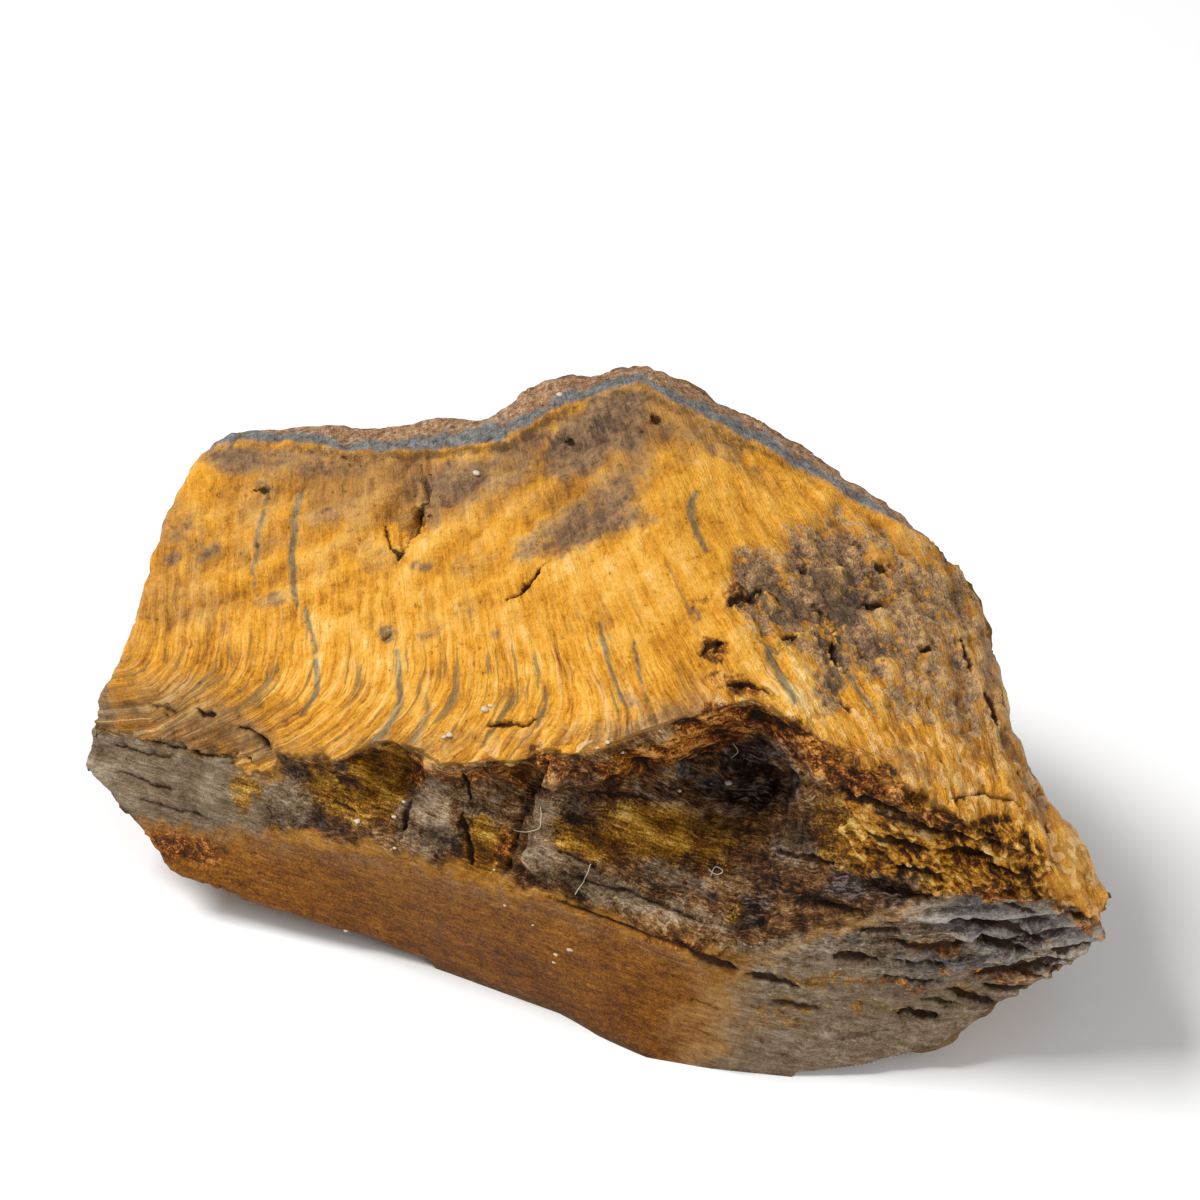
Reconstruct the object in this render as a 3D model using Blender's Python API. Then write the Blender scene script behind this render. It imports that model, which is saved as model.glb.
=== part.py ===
"""A rough lump of tiger's eye, broken out of its seam: one solid piece of stone.

The golden, fibrous top face leans towards the front, where it ends in a broken lip over a dark hollow.
A thin rind of the seam's wall runs along the back of the top. The stone rests on a flat patch below.
Frame: +X along the length, +Y towards the back, +Z up, origin under the middle of the stone's box.
"""

import math

import bmesh
import bpy
from mathutils import Vector, noise

MM = 0.001

# Driving dimensions, in millimetres. Each ridge is an edge or a swell that runs the length of the
# stone, from its left end to its right, as (x, y, z). They follow each other round the stone.
CRUST_EDGE = (
    (-26.0, 1.5, 16.8), (-25.0, 3.5, 17.8), (-21.5, 4.0, 18.8), (-16.5, 4.0, 19.8),
    (-13.5, 5.0, 20.8), (-10.5, 5.0, 21.3), (-9.0, 7.5, 22.8), (-5.5, 8.0, 23.8),
    (-3.5, 9.0, 24.6), (-1.0, 9.5, 23.4), (2.0, 10.0, 22.0), (4.5, 9.5, 21.7),
    (7.5, 9.0, 20.8), (11.0, 8.0, 20.3), (13.0, 7.5, 19.3), (15.5, 6.5, 18.8),
)  # fmt: skip
GOLDEN_BACK_EDGE = (
    (-25.5, 1.0, 17.3), (-23.5, 2.0, 18.3), (-19.5, 2.5, 19.3), (-14.5, 2.0, 20.3),
    (-9.5, 3.0, 21.8), (-7.0, 5.0, 23.3), (-4.5, 6.0, 24.3), (-2.5, 6.5, 25.1),
    (0.5, 7.0, 24.0), (4.0, 7.0, 22.8), (7.0, 7.0, 21.8), (11.0, 6.5, 20.8),
    (13.5, 6.5, 19.8), (15.5, 6.0, 18.8),
)  # fmt: skip
UPPER_SWELL = (
    (-26.0, -1.5, 15.8), (-18.0, -2.0, 16.8), (-9.5, -2.0, 18.8), (-2.0, 0.5, 21.8),
    (1.0, 2.0, 23.3), (6.0, 2.5, 21.8), (12.5, 2.0, 19.8), (18.0, 2.5, 17.8),
)  # fmt: skip
SHOULDER = (
    (-24.5, -8.5, 12.3), (-13.5, -11.0, 13.3), (-7.0, -10.0, 15.3), (0.0, -8.5, 17.3),
    (6.0, -6.5, 19.3), (7.5, -4.5, 20.8), (11.0, -3.0, 19.3), (16.0, -2.0, 17.8),
    (21.0, -2.0, 16.3),
)  # fmt: skip
LIP = (
    (-24.5, -11.0, 10.8), (-19.5, -11.5, 11.3), (-14.5, -12.5, 11.3), (-11.5, -13.5, 11.3),
    (-7.0, -12.5, 13.3), (-5.0, -13.0, 13.3), (1.0, -12.0, 14.8), (3.5, -11.5, 15.8),
    (7.5, -9.5, 17.8), (10.0, -8.0, 18.8), (13.0, -9.0, 17.8), (17.0, -9.5, 16.3),
    (21.0, -8.5, 15.3), (25.0, -7.0, 13.0), (26.0, -4.5, 10.5), (26.5, -2.5, 8.3),
)  # fmt: skip
HOLLOW = (
    (-25.0, -10.8, 9.8), (-20.0, -11.5, 9.5), (-15.0, -12.0, 9.0), (-11.5, -12.8, 9.5),
    (-6.0, -12.3, 11.3), (0.0, -11.0, 12.5), (3.0, -9.0, 12.7), (6.0, -6.0, 12.2),
    (8.5, -4.5, 11.7), (11.0, -6.0, 12.5), (15.0, -9.0, 13.8), (19.5, -8.8, 13.3),
    (24.5, -6.8, 11.7), (26.0, -4.0, 9.5), (26.7, -2.2, 7.6),
)  # fmt: skip
BROW = (
    (-25.5, -12.0, 6.0), (-20.5, -13.0, 6.5), (-15.0, -13.5, 6.5), (-6.5, -14.0, 7.5),
    (-1.0, -14.0, 8.0), (4.5, -14.0, 8.0), (9.5, -13.5, 7.0), (11.5, -12.5, 6.0),
    (15.5, -10.5, 7.5), (18.5, -9.5, 9.0), (21.0, -8.5, 10.5), (24.5, -6.0, 10.0),
    (26.5, -2.5, 7.0),
)  # fmt: skip
TOE = (
    (-19.5, -14.5, 2.5), (-15.5, -14.0, 1.5), (-11.5, -13.5, 1.0), (-5.0, -12.5, 0.0),
    (2.0, -13.0, 0.0), (7.0, -13.5, 0.0), (14.5, -12.0, 0.0), (17.5, -10.0, 0.5),
    (19.5, -8.6, 0.9), (21.4, -7.8, 2.0), (22.7, -6.5, 2.8), (25.3, -4.2, 4.5),
    (26.5, -2.5, 6.0),
)  # fmt: skip
HEEL = (
    (-21.5, -2.0, 2.5), (-19.0, 5.0, 0.0), (-6.0, 10.5, 0.0), (8.0, 11.0, 0.0),
    (17.0, 8.0, 0.0), (22.0, 2.0, 0.5), (25.5, -1.0, 4.0),
)  # fmt: skip
WALL_LOW = (
    (-26.5, 4.0, 7.0), (-20.0, 11.0, 7.0), (-6.0, 14.5, 8.0), (8.0, 15.0, 7.0),
    (16.5, 11.0, 5.5), (23.3, 2.0, 6.5),
)  # fmt: skip
WALL_HIGH = (
    (-27.0, 4.5, 13.0), (-21.5, 9.5, 14.0), (-6.0, 14.0, 17.5), (6.0, 14.0, 15.0),
    (13.5, 10.5, 13.0), (16.8, 5.5, 13.0),
)  # fmt: skip


# The ridges in their order round the stone, each with the rows of faces that lead to the next one
# and how rough the broken stone is there, in millimetres of relief.
RIDGES = (
    (CRUST_EDGE, 2, 0.20),
    (GOLDEN_BACK_EDGE, 6, 0.10),
    (UPPER_SWELL, 8, 0.12),
    (SHOULDER, 4, 0.12),
    (LIP, 3, 0.45),
    (HOLLOW, 7, 0.60),
    (BROW, 8, 0.22),
    (TOE, 7, 0.10),
    (HEEL, 5, 0.30),
    (WALL_LOW, 6, 0.45),
    (WALL_HIGH, 4, 0.40),
)
STATIONS = 64
CAP_RINGS = 5
LEFT_MIDDLE = (-27.0, -3.0, 9.0)
RIGHT_MIDDLE = (20.9, 2.3, 9.8)
END_ROUGH = 0.35
END_SMOOTHING_PASSES = 14

# Where a row lies round the stone, counted in ridges from the crust edge.
ON_GOLDEN_BACK, ON_UPPER_SWELL, ON_SHOULDER, ON_LIP, ON_HOLLOW, ON_BROW, ON_TOE, ON_HEEL = range(1, 9)

LUMP_SIZE = 5.0
CHIP_SIZE = 1.7
CHIP_SHARE = 0.5

# The upright step in the front face: the stone to its right stands proud of the stone to its left.
STEP_X = 0.3
STEP_WIDTH = 0.8
STEP_PROUD = 0.8
STEP_SUNK = 0.6
STEP_FADE = 5.0

# Thin splintered ledges below the right end, and the knobbly fibre ends above them.
LEDGE_FROM_X = 13.0
LEDGE_FULL_X = 18.0
LEDGE_RISE = 1.5
LEDGE_DEPTH = 0.55
LEDGE_DIP = 0.25
KNOB_DEPTH = 0.45

# Splintery ribs that run along the left half of the front, just above the brow.
RIB_PITCH = 0.28
RIB_DEPTH = 0.25
RIB_FROM_X, RIB_TO_X = 1.0, 11.0

# Places where a chip has come away: (middle, radius, depth).
CHIPS_LOST = (
    ((-12.2, -1.4, 18.5), 1.5, 0.9),
    ((-15.6, -12.2, 11.4), 2.4, 0.7),
    ((-11.3, -13.4, 10.9), 1.7, 0.7),
    ((-7.6, -12.8, 11.8), 2.0, 0.8),
    ((7.0, -1.8, 21.2), 1.6, 0.4),
    ((19.6, -9.0, 14.6), 1.6, 0.6),
)

# The relief dies away where the ridges run together in the tip at the right.
TIP_FROM_X, TIP_TO_X = 23.5, 26.0

SMOOTHING_PASSES = 4
STONE_COLOUR = (0.55, 0.33, 0.08, 1.0)
STONE_ROUGHNESS = 0.45


def smoothstep(low, high, value):
    share = min(1.0, max(0.0, (value - low) / (high - low)))
    return share * share * (3.0 - 2.0 * share)


def between(low, high, value, fade):
    """1 from low to high, falling to 0 over fade on either side."""
    return smoothstep(low - fade, low, value) * (1.0 - smoothstep(high, high + fade, value))


def point_on(ridge, share):
    """The point on a ridge at this share of the way from its left end to its right."""
    x = ridge[0][0] + share * (ridge[-1][0] - ridge[0][0])
    for start, end in zip(ridge, ridge[1:]):
        if x <= end[0]:
            break
    along = min(1.0, (x - start[0]) / (end[0] - start[0]))
    return Vector(start).lerp(Vector(end), along)


def stone_rows():
    """(place round the stone, roughness, points from left to right) of each row of the skin."""
    for index, (ridge, rows, rough) in enumerate(RIDGES):
        next_ridge, _, next_rough = RIDGES[(index + 1) % len(RIDGES)]
        for row in range(rows):
            way = row / rows
            points = []
            for station in range(STATIONS + 1):
                share = station / STATIONS
                points.append(point_on(ridge, share).lerp(point_on(next_ridge, share), way))
            yield index + way, rough + (next_rough - rough) * way, points


def step_relief(x, place):
    """The upright step between the lip and the brow."""
    proud = smoothstep(STEP_X, STEP_X + STEP_WIDTH, x) * (1.0 - smoothstep(STEP_X + 1.5, STEP_X + STEP_FADE, x))
    sunk = smoothstep(STEP_X - STEP_FADE, STEP_X, x) * (1.0 - smoothstep(STEP_X, STEP_X + STEP_WIDTH, x))
    return (STEP_PROUD * proud - STEP_SUNK * sunk) * between(ON_LIP + 0.3, ON_BROW - 0.4, place, 0.3)


def ledge_relief(point, place):
    """Steps that drop back one under another, below the right end."""
    height = point.z - LEDGE_DIP * point.x + 0.6 * noise.noise(point / 3.0)
    drop = (height / LEDGE_RISE) % 1.0
    return LEDGE_DEPTH * (smoothstep(0.0, 0.8, drop) - smoothstep(0.8, 1.0, drop) - 0.5) * smoothstep(
        LEDGE_FROM_X, LEDGE_FULL_X, point.x
    ) * between(ON_BROW - 0.5, ON_TOE - 0.1, place, 0.15)


def knob_relief(point, place):
    """Fibre ends, longer than they are high, between the lip and the brow at the right."""
    stretched = Vector((point.x / 2.2, point.y / 2.2, (point.z + 0.3 * point.x) / 0.9))
    return KNOB_DEPTH * noise.noise(stretched) * smoothstep(10.0, 13.0, point.x) * between(
        ON_LIP + 0.2, ON_BROW, place, 0.3
    )


def rib_relief(point, place):
    wave = math.sin(math.tau * place / RIB_PITCH + 2.0 * noise.noise(point / 4.0))
    return RIB_DEPTH * wave * between(RIB_FROM_X, RIB_TO_X, point.x, 2.0) * between(
        ON_HOLLOW + 0.4, ON_BROW, place, 0.2
    )


def chip_relief(point):
    depth = 0.0
    for middle, radius, deepest in CHIPS_LOST:
        reach = (point - Vector(middle)).length / radius
        depth = max(depth, deepest * (1.0 - smoothstep(0.35, 1.0, reach)))
    return -depth


def relief(point, place, rough):
    """How far the broken surface stands out of the plain skin here, in millimetres."""
    lumps = noise.noise(point / LUMP_SIZE)
    chips = noise.noise(point / CHIP_SIZE + Vector((7.0, 3.0, 5.0)))
    height = rough * (lumps + CHIP_SHARE * chips)
    height += step_relief(point.x, place) + ledge_relief(point, place)
    height += knob_relief(point, place) + rib_relief(point, place) + chip_relief(point)
    height *= 1.0 - smoothstep(TIP_FROM_X, TIP_TO_X, point.x)
    on_base = point.z < 1e-6
    return 0.0 if on_base else height * smoothstep(0.0, 1.0, point.z)


def smooth(mesh, verts, passes):
    for _ in range(passes):
        bmesh.ops.smooth_vert(mesh, verts=verts, factor=0.5, use_axis_x=True, use_axis_y=True, use_axis_z=True)


def close_end(mesh, ring, middle, is_left, relief_of):
    """Closes one end with rings that shrink, in a slight dome, to its middle."""
    centre = sum((vertex.co for vertex in ring), Vector()) / len(ring)
    plain = (ON_HEEL + 1.0, END_ROUGH)
    outer = ring
    inside = []
    for step in range(1, CAP_RINGS):
        size = 1.0 - step / CAP_RINGS
        shift = (Vector(middle) - centre) * (1.0 - size * size)
        inner = [mesh.verts.new(centre + (vertex.co - centre) * size + shift) for vertex in ring]
        inside += inner
        skin(mesh, outer, inner, closed=True, flip=is_left)
        outer = inner
    tip = mesh.verts.new(middle)
    for first, second in zip(outer, outer[1:] + outer[:1]):
        mesh.faces.new((second, first, tip) if is_left else (first, second, tip))
    inside.append(tip)
    relief_of.update((vertex, plain) for vertex in inside)
    smooth(mesh, inside, END_SMOOTHING_PASSES)


def skin(mesh, first, second, closed=False, flip=False):
    """Faces between two rows of points."""
    pairs = list(zip(first, second))
    following = pairs[1:] + (pairs[:1] if closed else [])
    for (a, b), (d, c) in zip(pairs, following):
        mesh.faces.new((b, a, d, c) if flip else (a, b, c, d))


def centre_on_base(mesh):
    """Moves the stone so that the middle of its box's floor is the origin."""
    low = Vector([min(vertex.co[axis] for vertex in mesh.verts) for axis in range(3)])
    high = Vector([max(vertex.co[axis] for vertex in mesh.verts) for axis in range(3)])
    middle = (low + high) / 2.0
    bmesh.ops.translate(mesh, vec=(-middle.x, -middle.y, -low.z), verts=mesh.verts)


def make_stone_mesh():
    mesh = bmesh.new()
    relief_of = {}
    rows = []
    golden = []
    for place, rough, points in stone_rows():
        row = [mesh.verts.new(point) for point in points]
        rows.append(row)
        for vertex in row:
            relief_of[vertex] = (place, rough)
        if ON_GOLDEN_BACK < place < ON_LIP:
            golden.extend(row[1:-1])
    for row, next_row in zip(rows, rows[1:] + rows[:1]):
        skin(mesh, row, next_row)
    close_end(mesh, [row[0] for row in rows], LEFT_MIDDLE, True, relief_of)
    close_end(mesh, [row[-1] for row in rows], RIGHT_MIDDLE, False, relief_of)
    smooth(mesh, golden, SMOOTHING_PASSES)
    mesh.normal_update()
    shifts = [vertex.normal * relief(vertex.co, *relief_of[vertex]) for vertex in mesh.verts]
    for vertex, shift in zip(mesh.verts, shifts):
        vertex.co += shift
    centre_on_base(mesh)
    bmesh.ops.triangulate(mesh, faces=mesh.faces)
    bmesh.ops.recalc_face_normals(mesh, faces=mesh.faces)
    bmesh.ops.scale(mesh, vec=(MM, MM, MM), verts=mesh.verts)
    return mesh


def stone_material():
    material = bpy.data.materials.new("tigers_eye")
    material.use_nodes = True
    shader = material.node_tree.nodes["Principled BSDF"]
    shader.inputs["Base Color"].default_value = STONE_COLOUR
    shader.inputs["Roughness"].default_value = STONE_ROUGHNESS
    shader.inputs["Metallic"].default_value = 0.0
    return material


def build():
    for obj in list(bpy.data.objects):
        bpy.data.objects.remove(obj)
    collection = bpy.data.collections.new("rough_tigers_eye")
    bpy.context.scene.collection.children.link(collection)
    mesh = make_stone_mesh()
    data = bpy.data.meshes.new("tigers_eye_stone")
    mesh.to_mesh(data)
    mesh.free()
    stone = bpy.data.objects.new("tigers_eye_stone", data)
    data.materials.append(stone_material())
    collection.objects.link(stone)


build()
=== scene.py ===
"""Dresses the rough lump of tiger's eye: the stone, the dust and lint on it, and a pale studio stage.

Markings are laid out on a sheet that stands square to the three-quarter view from which the stone is
usually shown. The sheet is 1200 units wide and a unit is about 0.05 mm at the stone. Sizes are in
millimetres until a mesh is finished, and in metres after that.
"""

import math

import bmesh
import bpy
import numpy as np
from mathutils import Matrix, Vector, noise
from mathutils.bvhtree import BVHTree


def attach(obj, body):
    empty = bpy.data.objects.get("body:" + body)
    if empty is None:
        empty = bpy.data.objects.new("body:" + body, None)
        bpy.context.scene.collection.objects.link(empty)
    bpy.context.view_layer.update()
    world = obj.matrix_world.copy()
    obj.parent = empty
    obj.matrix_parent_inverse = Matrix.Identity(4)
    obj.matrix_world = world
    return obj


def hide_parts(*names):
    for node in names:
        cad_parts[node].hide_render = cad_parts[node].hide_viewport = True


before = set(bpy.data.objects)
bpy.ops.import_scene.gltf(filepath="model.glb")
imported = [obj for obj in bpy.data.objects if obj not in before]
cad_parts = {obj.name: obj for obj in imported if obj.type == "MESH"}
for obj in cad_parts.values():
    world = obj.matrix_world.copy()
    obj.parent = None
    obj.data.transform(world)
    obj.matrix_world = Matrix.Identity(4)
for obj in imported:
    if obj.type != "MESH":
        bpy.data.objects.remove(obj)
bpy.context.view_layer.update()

bl_info = {
    "name": "Rough tiger's eye",
    "version": (1, 0, 0),
    "blender": (4, 5, 0),
    "location": "3D View > Sidebar > Stone",
    "description": "Makes a rough lump of tiger's eye with its dust and a studio stage",
    "category": "Object",
}

STONE_NODE = "tigers_eye_stone"
MM = 0.001

# The view that the sheet stands square to.
VIEW_AZIMUTH = math.radians(25.0)
VIEW_ELEVATION = math.radians(35.0)
VIEW_AIM = Vector((0.506, -4.399, 19.14))
VIEW_DISTANCE = 210.0
SHEET_SIZE = 1200.0
SHEET_UNIT = 0.0492
SENSOR = 36.0

RIGHT = Vector((math.cos(VIEW_AZIMUTH), math.sin(VIEW_AZIMUTH), 0.0))
TOWARDS = Vector((
    math.sin(VIEW_AZIMUTH) * math.cos(VIEW_ELEVATION),
    -math.cos(VIEW_AZIMUTH) * math.cos(VIEW_ELEVATION),
    math.sin(VIEW_ELEVATION),
))
UPWARDS = TOWARDS.cross(RIGHT)
EYE = VIEW_AIM + TOWARDS * VIEW_DISTANCE
FOCAL = VIEW_DISTANCE / SHEET_UNIT

# Edges between the faces of the stone, on the sheet: (across, down).
LIP = (
    (90, 722), (115, 735), (160, 743), (210, 754), (245, 768), (272, 776), (300, 774), (343, 766),
    (356, 750), (400, 742), (425, 758), (467, 766), (510, 760), (547, 754), (607, 762), (650, 750),
    (680, 736), (727, 716), (765, 709), (805, 728), (837, 752), (893, 782), (950, 812), (1010, 862),
    (1050, 900), (1108, 928),
)  # fmt: skip
BROW = (
    (90, 798), (140, 814), (217, 830), (240, 826), (323, 841), (397, 854), (443, 868), (503, 881),
    (553, 897), (590, 912), (650, 934), (700, 955), (742, 968), (800, 940), (880, 918), (960, 893),
    (1046, 903), (1108, 926),
)  # fmt: skip
CRUST = (
    (180, 470), (205, 452), (240, 440), (300, 441), (340, 449), (378, 453), (440, 450), (500, 441),
    (530, 425), (552, 408), (600, 394), (640, 383), (670, 402), (720, 424), (766, 447), (815, 477),
    (850, 497), (895, 520), (940, 545), (975, 570),
)  # fmt: skip

# How softly the edge of the gold is torn up and down, and how thick its flakes lie, at places across.
# The darker flakes are painted small shadows.
LIP_SOFTNESS = ((90, 15), (280, 13), (330, 6), (580, 6), (650, 12), (800, 12), (870, 7))
LIP_ROUGHNESS = ((90, 0.6), (200, 0.7), (300, 0.25), (480, 0.4), (580, 1.0), (800, 1.0), (900, 0.6))

# Foot and head of the lumpy golden edge at the right, and the foot of the blue-grey ledges under it.
LUMPY_FOOT = (
    (760, 730), (790, 760), (818, 866), (870, 886), (933, 896), (985, 898), (1037, 900), (1050, 906),
    (1108, 930),
)  # fmt: skip
LUMPY_HEAD = (
    (740, 735), (800, 745), (850, 778), (900, 796), (930, 803), (1022, 812), (1050, 850), (1108, 918),
)  # fmt: skip
SLATE_FOOT = ((900, 900), (940, 930), (985, 962), (1020, 985), (1060, 975), (1110, 950))


# ---------------------------------------------------------------------------------------------------
# Small helpers
# ---------------------------------------------------------------------------------------------------


def colour(red, green, blue):
    """A display colour of 0 to 255 as scene-linear (r, g, b)."""
    parts = (red / 255.0, green / 255.0, blue / 255.0)
    return tuple(part / 12.92 if part <= 0.04045 else ((part + 0.055) / 1.055) ** 2.4 for part in parts)


def fade(low, high, value):
    """0 below low, 1 above high, eased between them."""
    share = np.clip((value - low) / (high - low), 0.0, 1.0)
    return share * share * (3.0 - 2.0 * share)


def line_at(line, across):
    """The second number of a line of (across, number) points, read off at each place across."""
    return np.interp(across, [point[0] for point in line], [point[1] for point in line])


def field(points, size, seed=0.0):
    """Smooth noise of about -1 to 1 whose lumps are of this size (one number or three)."""
    places = points / np.asarray(size, float) + seed
    return np.array([noise.noise(place) for place in places.tolist()])


def near_stroke(sheet, points):
    """Distance of each vertex from a line through these sheet points, and its place along it, 0 to 1."""
    nearest, place = np.full(len(sheet), 1e9), np.zeros(len(sheet))
    steps = [math.dist(start, end) for start, end in zip(points, points[1:])]
    passed = 0.0
    for start, end, step in zip(points, points[1:], steps):
        start, end = np.array(start, float), np.array(end, float)
        along = end - start
        share = np.clip((sheet - start) @ along / (along @ along), 0.0, 1.0)
        away = np.linalg.norm(sheet - start - share[:, None] * along, axis=1)
        place = np.where(away < nearest, (passed + share * step) / sum(steps), place)
        nearest = np.minimum(nearest, away)
        passed += step
    return nearest, place


def stroke(sheet, points, width, soft=0.6):
    """1 on a line of this half width that thins towards its ends, fading at its sides."""
    away, place = near_stroke(sheet, points)
    half = width * (0.3 + 0.7 * np.sqrt(np.clip(4.0 * place * (1.0 - place), 0.0, 1.0)))
    return 1.0 - fade(0.0, 1.0, (away / half - 1.0 + soft) / (2.0 * soft))


def patch(sheet, middle, half, tilt=0.0, soft=0.5):
    """1 in an ellipse, fading outwards. tilt turns it, in degrees, right end down."""
    turn = math.radians(tilt)
    away = sheet - np.array(middle, float)
    long_way = (away[:, 0] * math.cos(turn) + away[:, 1] * math.sin(turn)) / half[0]
    short_way = (away[:, 1] * math.cos(turn) - away[:, 0] * math.sin(turn)) / half[1]
    return 1.0 - fade(1.0 - soft, 1.0 + soft, np.hypot(long_way, short_way))


def strongest(masks):
    """The highest of several masks at each vertex."""
    return np.max(np.array(masks), axis=0)


def sheet_places(points):
    """Where points of the stone, in millimetres, fall on the sheet."""
    away = points - np.array(EYE)
    depth = -away @ np.array(TOWARDS)
    across = SHEET_SIZE / 2 + FOCAL * (away @ np.array(RIGHT)) / depth
    down = SHEET_SIZE / 2 - FOCAL * (away @ np.array(UPWARDS)) / depth
    return np.stack([across, down], axis=1)


def facing_eye(points, normals):
    """How squarely each vertex faces the eye: 1 towards it, below 0 where it is turned away."""
    to_eye = np.array(EYE) - points
    return (normals * to_eye).sum(axis=1) / np.linalg.norm(to_eye, axis=1)


def sheet_ray(across, down):
    """The direction from the eye through a place on the sheet."""
    way = RIGHT * ((across - SHEET_SIZE / 2) / FOCAL) + UPWARDS * ((SHEET_SIZE / 2 - down) / FOCAL) - TOWARDS
    return way.normalized()


# ---------------------------------------------------------------------------------------------------
# Markings, laid out on the sheet
# ---------------------------------------------------------------------------------------------------

# Slate-blue fibres in the golden face: (points, half width, strength).
SLATE_FIBRES = (
    (((268, 492), (258, 545), (254, 575), (259, 600)), 2.2, 0.8),
    (((304, 486), (297, 512), (292, 560), (298, 612)), 2.8, 0.95),
    (((305, 606), (314, 645), (318, 672), (317, 695), (300, 715)), 2.4, 0.9),
    (((397, 650), (402, 700), (388, 728), (364, 752), (345, 762)), 3.4, 0.8),
    (((425, 690), (428, 712), (414, 738), (398, 750)), 3.4, 0.6), (((228, 645), (231, 662)), 2.4, 0.5),
    (((256, 655), (253, 668)), 2.2, 0.4), (((541, 675), (546, 702), (536, 730)), 1.7, 0.7),
    (((598, 622), (612, 672), (624, 708)), 2.4, 0.8), (((632, 636), (641, 684), (648, 702)), 2.0, 0.8),
    (((698, 488), (690, 505), (694, 522), (706, 550)), 3.6, 0.85),
    (((765, 645), (778, 670), (795, 708)), 3.6, 0.85), (((848, 672), (866, 700), (880, 722)), 2.2, 0.7),
    (((352, 655), (356, 690), (345, 725)), 1.6, 0.4), (((470, 700), (462, 728), (440, 752)), 1.6, 0.4),
    (((520, 700), (516, 730), (500, 752)), 1.5, 0.4), (((664, 560), (684, 600), (700, 640)), 1.5, 0.5),
    (((690, 620), (706, 660)), 1.5, 0.4),
)  # fmt: skip

# Purple-brown iron stains: (middle, half length and width, tilt, strength).
STAINS = (
    ((265, 456), (78, 13), 5, 0.7), ((400, 470), (70, 15), -2, 0.4), ((518, 449), (56, 15), -30, 0.75),
    ((455, 480), (40, 18), -12, 0.5), ((215, 722), (56, 12), 14, 0.45), ((255, 746), (28, 11), 20, 0.5),
    ((238, 460), (42, 17), 10, 0.9), ((310, 462), (70, 12), 4, 0.55), ((452, 482), (46, 20), -14, 0.85),
    ((505, 468), (34, 22), -25, 0.6), ((590, 436), (54, 28), -38, 1.0), ((618, 404), (34, 14), -8, 1.0),
    ((632, 430), (16, 28), 20, 0.8), ((586, 524), (58, 22), -28, 0.9), ((540, 545), (30, 18), -20, 0.7),
    ((618, 500), (20, 34), 20, 0.75), ((645, 520), (12, 12), 20, 0.5), ((386, 632), (14, 9), 15, 0.9),
    ((430, 632), (16, 10), -25, 0.55), ((378, 560), (26, 14), 5, 0.5), ((428, 505), (7, 30), 4, 0.6),
    ((402, 522), (10, 14), 30, 0.45), ((424, 567), (11, 6), -15, 0.8), ((206, 552), (20, 9), -35, 0.6),
    ((170, 560), (7, 6), 0, 0.75), ((180, 526), (24, 24), 0, 0.4), ((272, 600), (16, 6), -20, 0.65),
    ((262, 490), (11, 3), 0, 0.9), ((345, 505), (44, 10), -30, 0.45), ((470, 560), (30, 14), -30, 0.35),
    ((450, 620), (40, 12), -30, 0.3), ((715, 440), (34, 16), 35, 0.5), ((760, 480), (30, 12), 35, 0.35),
    ((640, 470), (10, 34), 10, 0.5), ((655, 425), (26, 11), 10, 0.5), ((520, 690), (30, 6), -12, 0.3),
    ((696, 612), (8, 6), 0, 0.8), ((492, 637), (5, 4), 0, 0.7), ((625, 697), (9, 7), 0, 0.8),
    ((206, 714), (14, 7), 14, 0.6), ((254, 736), (14, 9), 20, 0.5), ((150, 712), (50, 10), 14, 0.3),
    ((174, 742), (50, 5), 14, 0.5), ((102, 716), (12, 26), 10, 0.9), ((650, 722), (60, 10), -16, 0.45),
    ((985, 660), (8, 50), -14, 0.6), ((1010, 740), (9, 40), -24, 0.45), ((1035, 800), (8, 30), -24, 0.4),
    ((950, 640), (40, 60), -14, 0.35), ((905, 770), (40, 14), 30, 0.3),
)  # fmt: skip

# The big speckled patch of dull iron stone on the right-hand facet, and the darkest flecks of it and of the
# stains: (middle, half size, tilt, strength).
SPECKLED = (
    ((765, 588), (34, 40), -10, 0.9), ((830, 580), (56, 62), 20, 1.0), ((845, 640), (50, 32), 20, 0.9),
    ((905, 610), (56, 58), 25, 0.85), ((950, 590), (26, 46), -10, 0.6), ((915, 690), (30, 32), 30, 0.75),
    ((960, 690), (20, 54), -15, 0.6), ((832, 660), (14, 46), 0, 0.8),
)  # fmt: skip
SPECKLED_DARKEST = (
    ((594, 426), (28, 9), -35, 0.85), ((558, 440), (12, 6), -20, 0.7), ((622, 406), (14, 8), 0, 0.7),
    ((505, 470), (16, 8), -20, 0.4), ((600, 520), (26, 8), -28, 0.45), ((240, 458), (30, 8), 8, 0.4),
    ((780, 600), (34, 20), 30, 0.9), ((843, 590), (34, 26), 15, 0.95), ((834, 625), (14, 36), 10, 0.95),
    ((770, 640), (28, 9), 10, 0.8), ((885, 650), (24, 16), 10, 0.65), ((745, 596), (18, 8), -20, 0.9),
    ((835, 670), (8, 34), 0, 0.95), ((870, 560), (14, 10), 0, 0.6),
)  # fmt: skip
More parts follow.
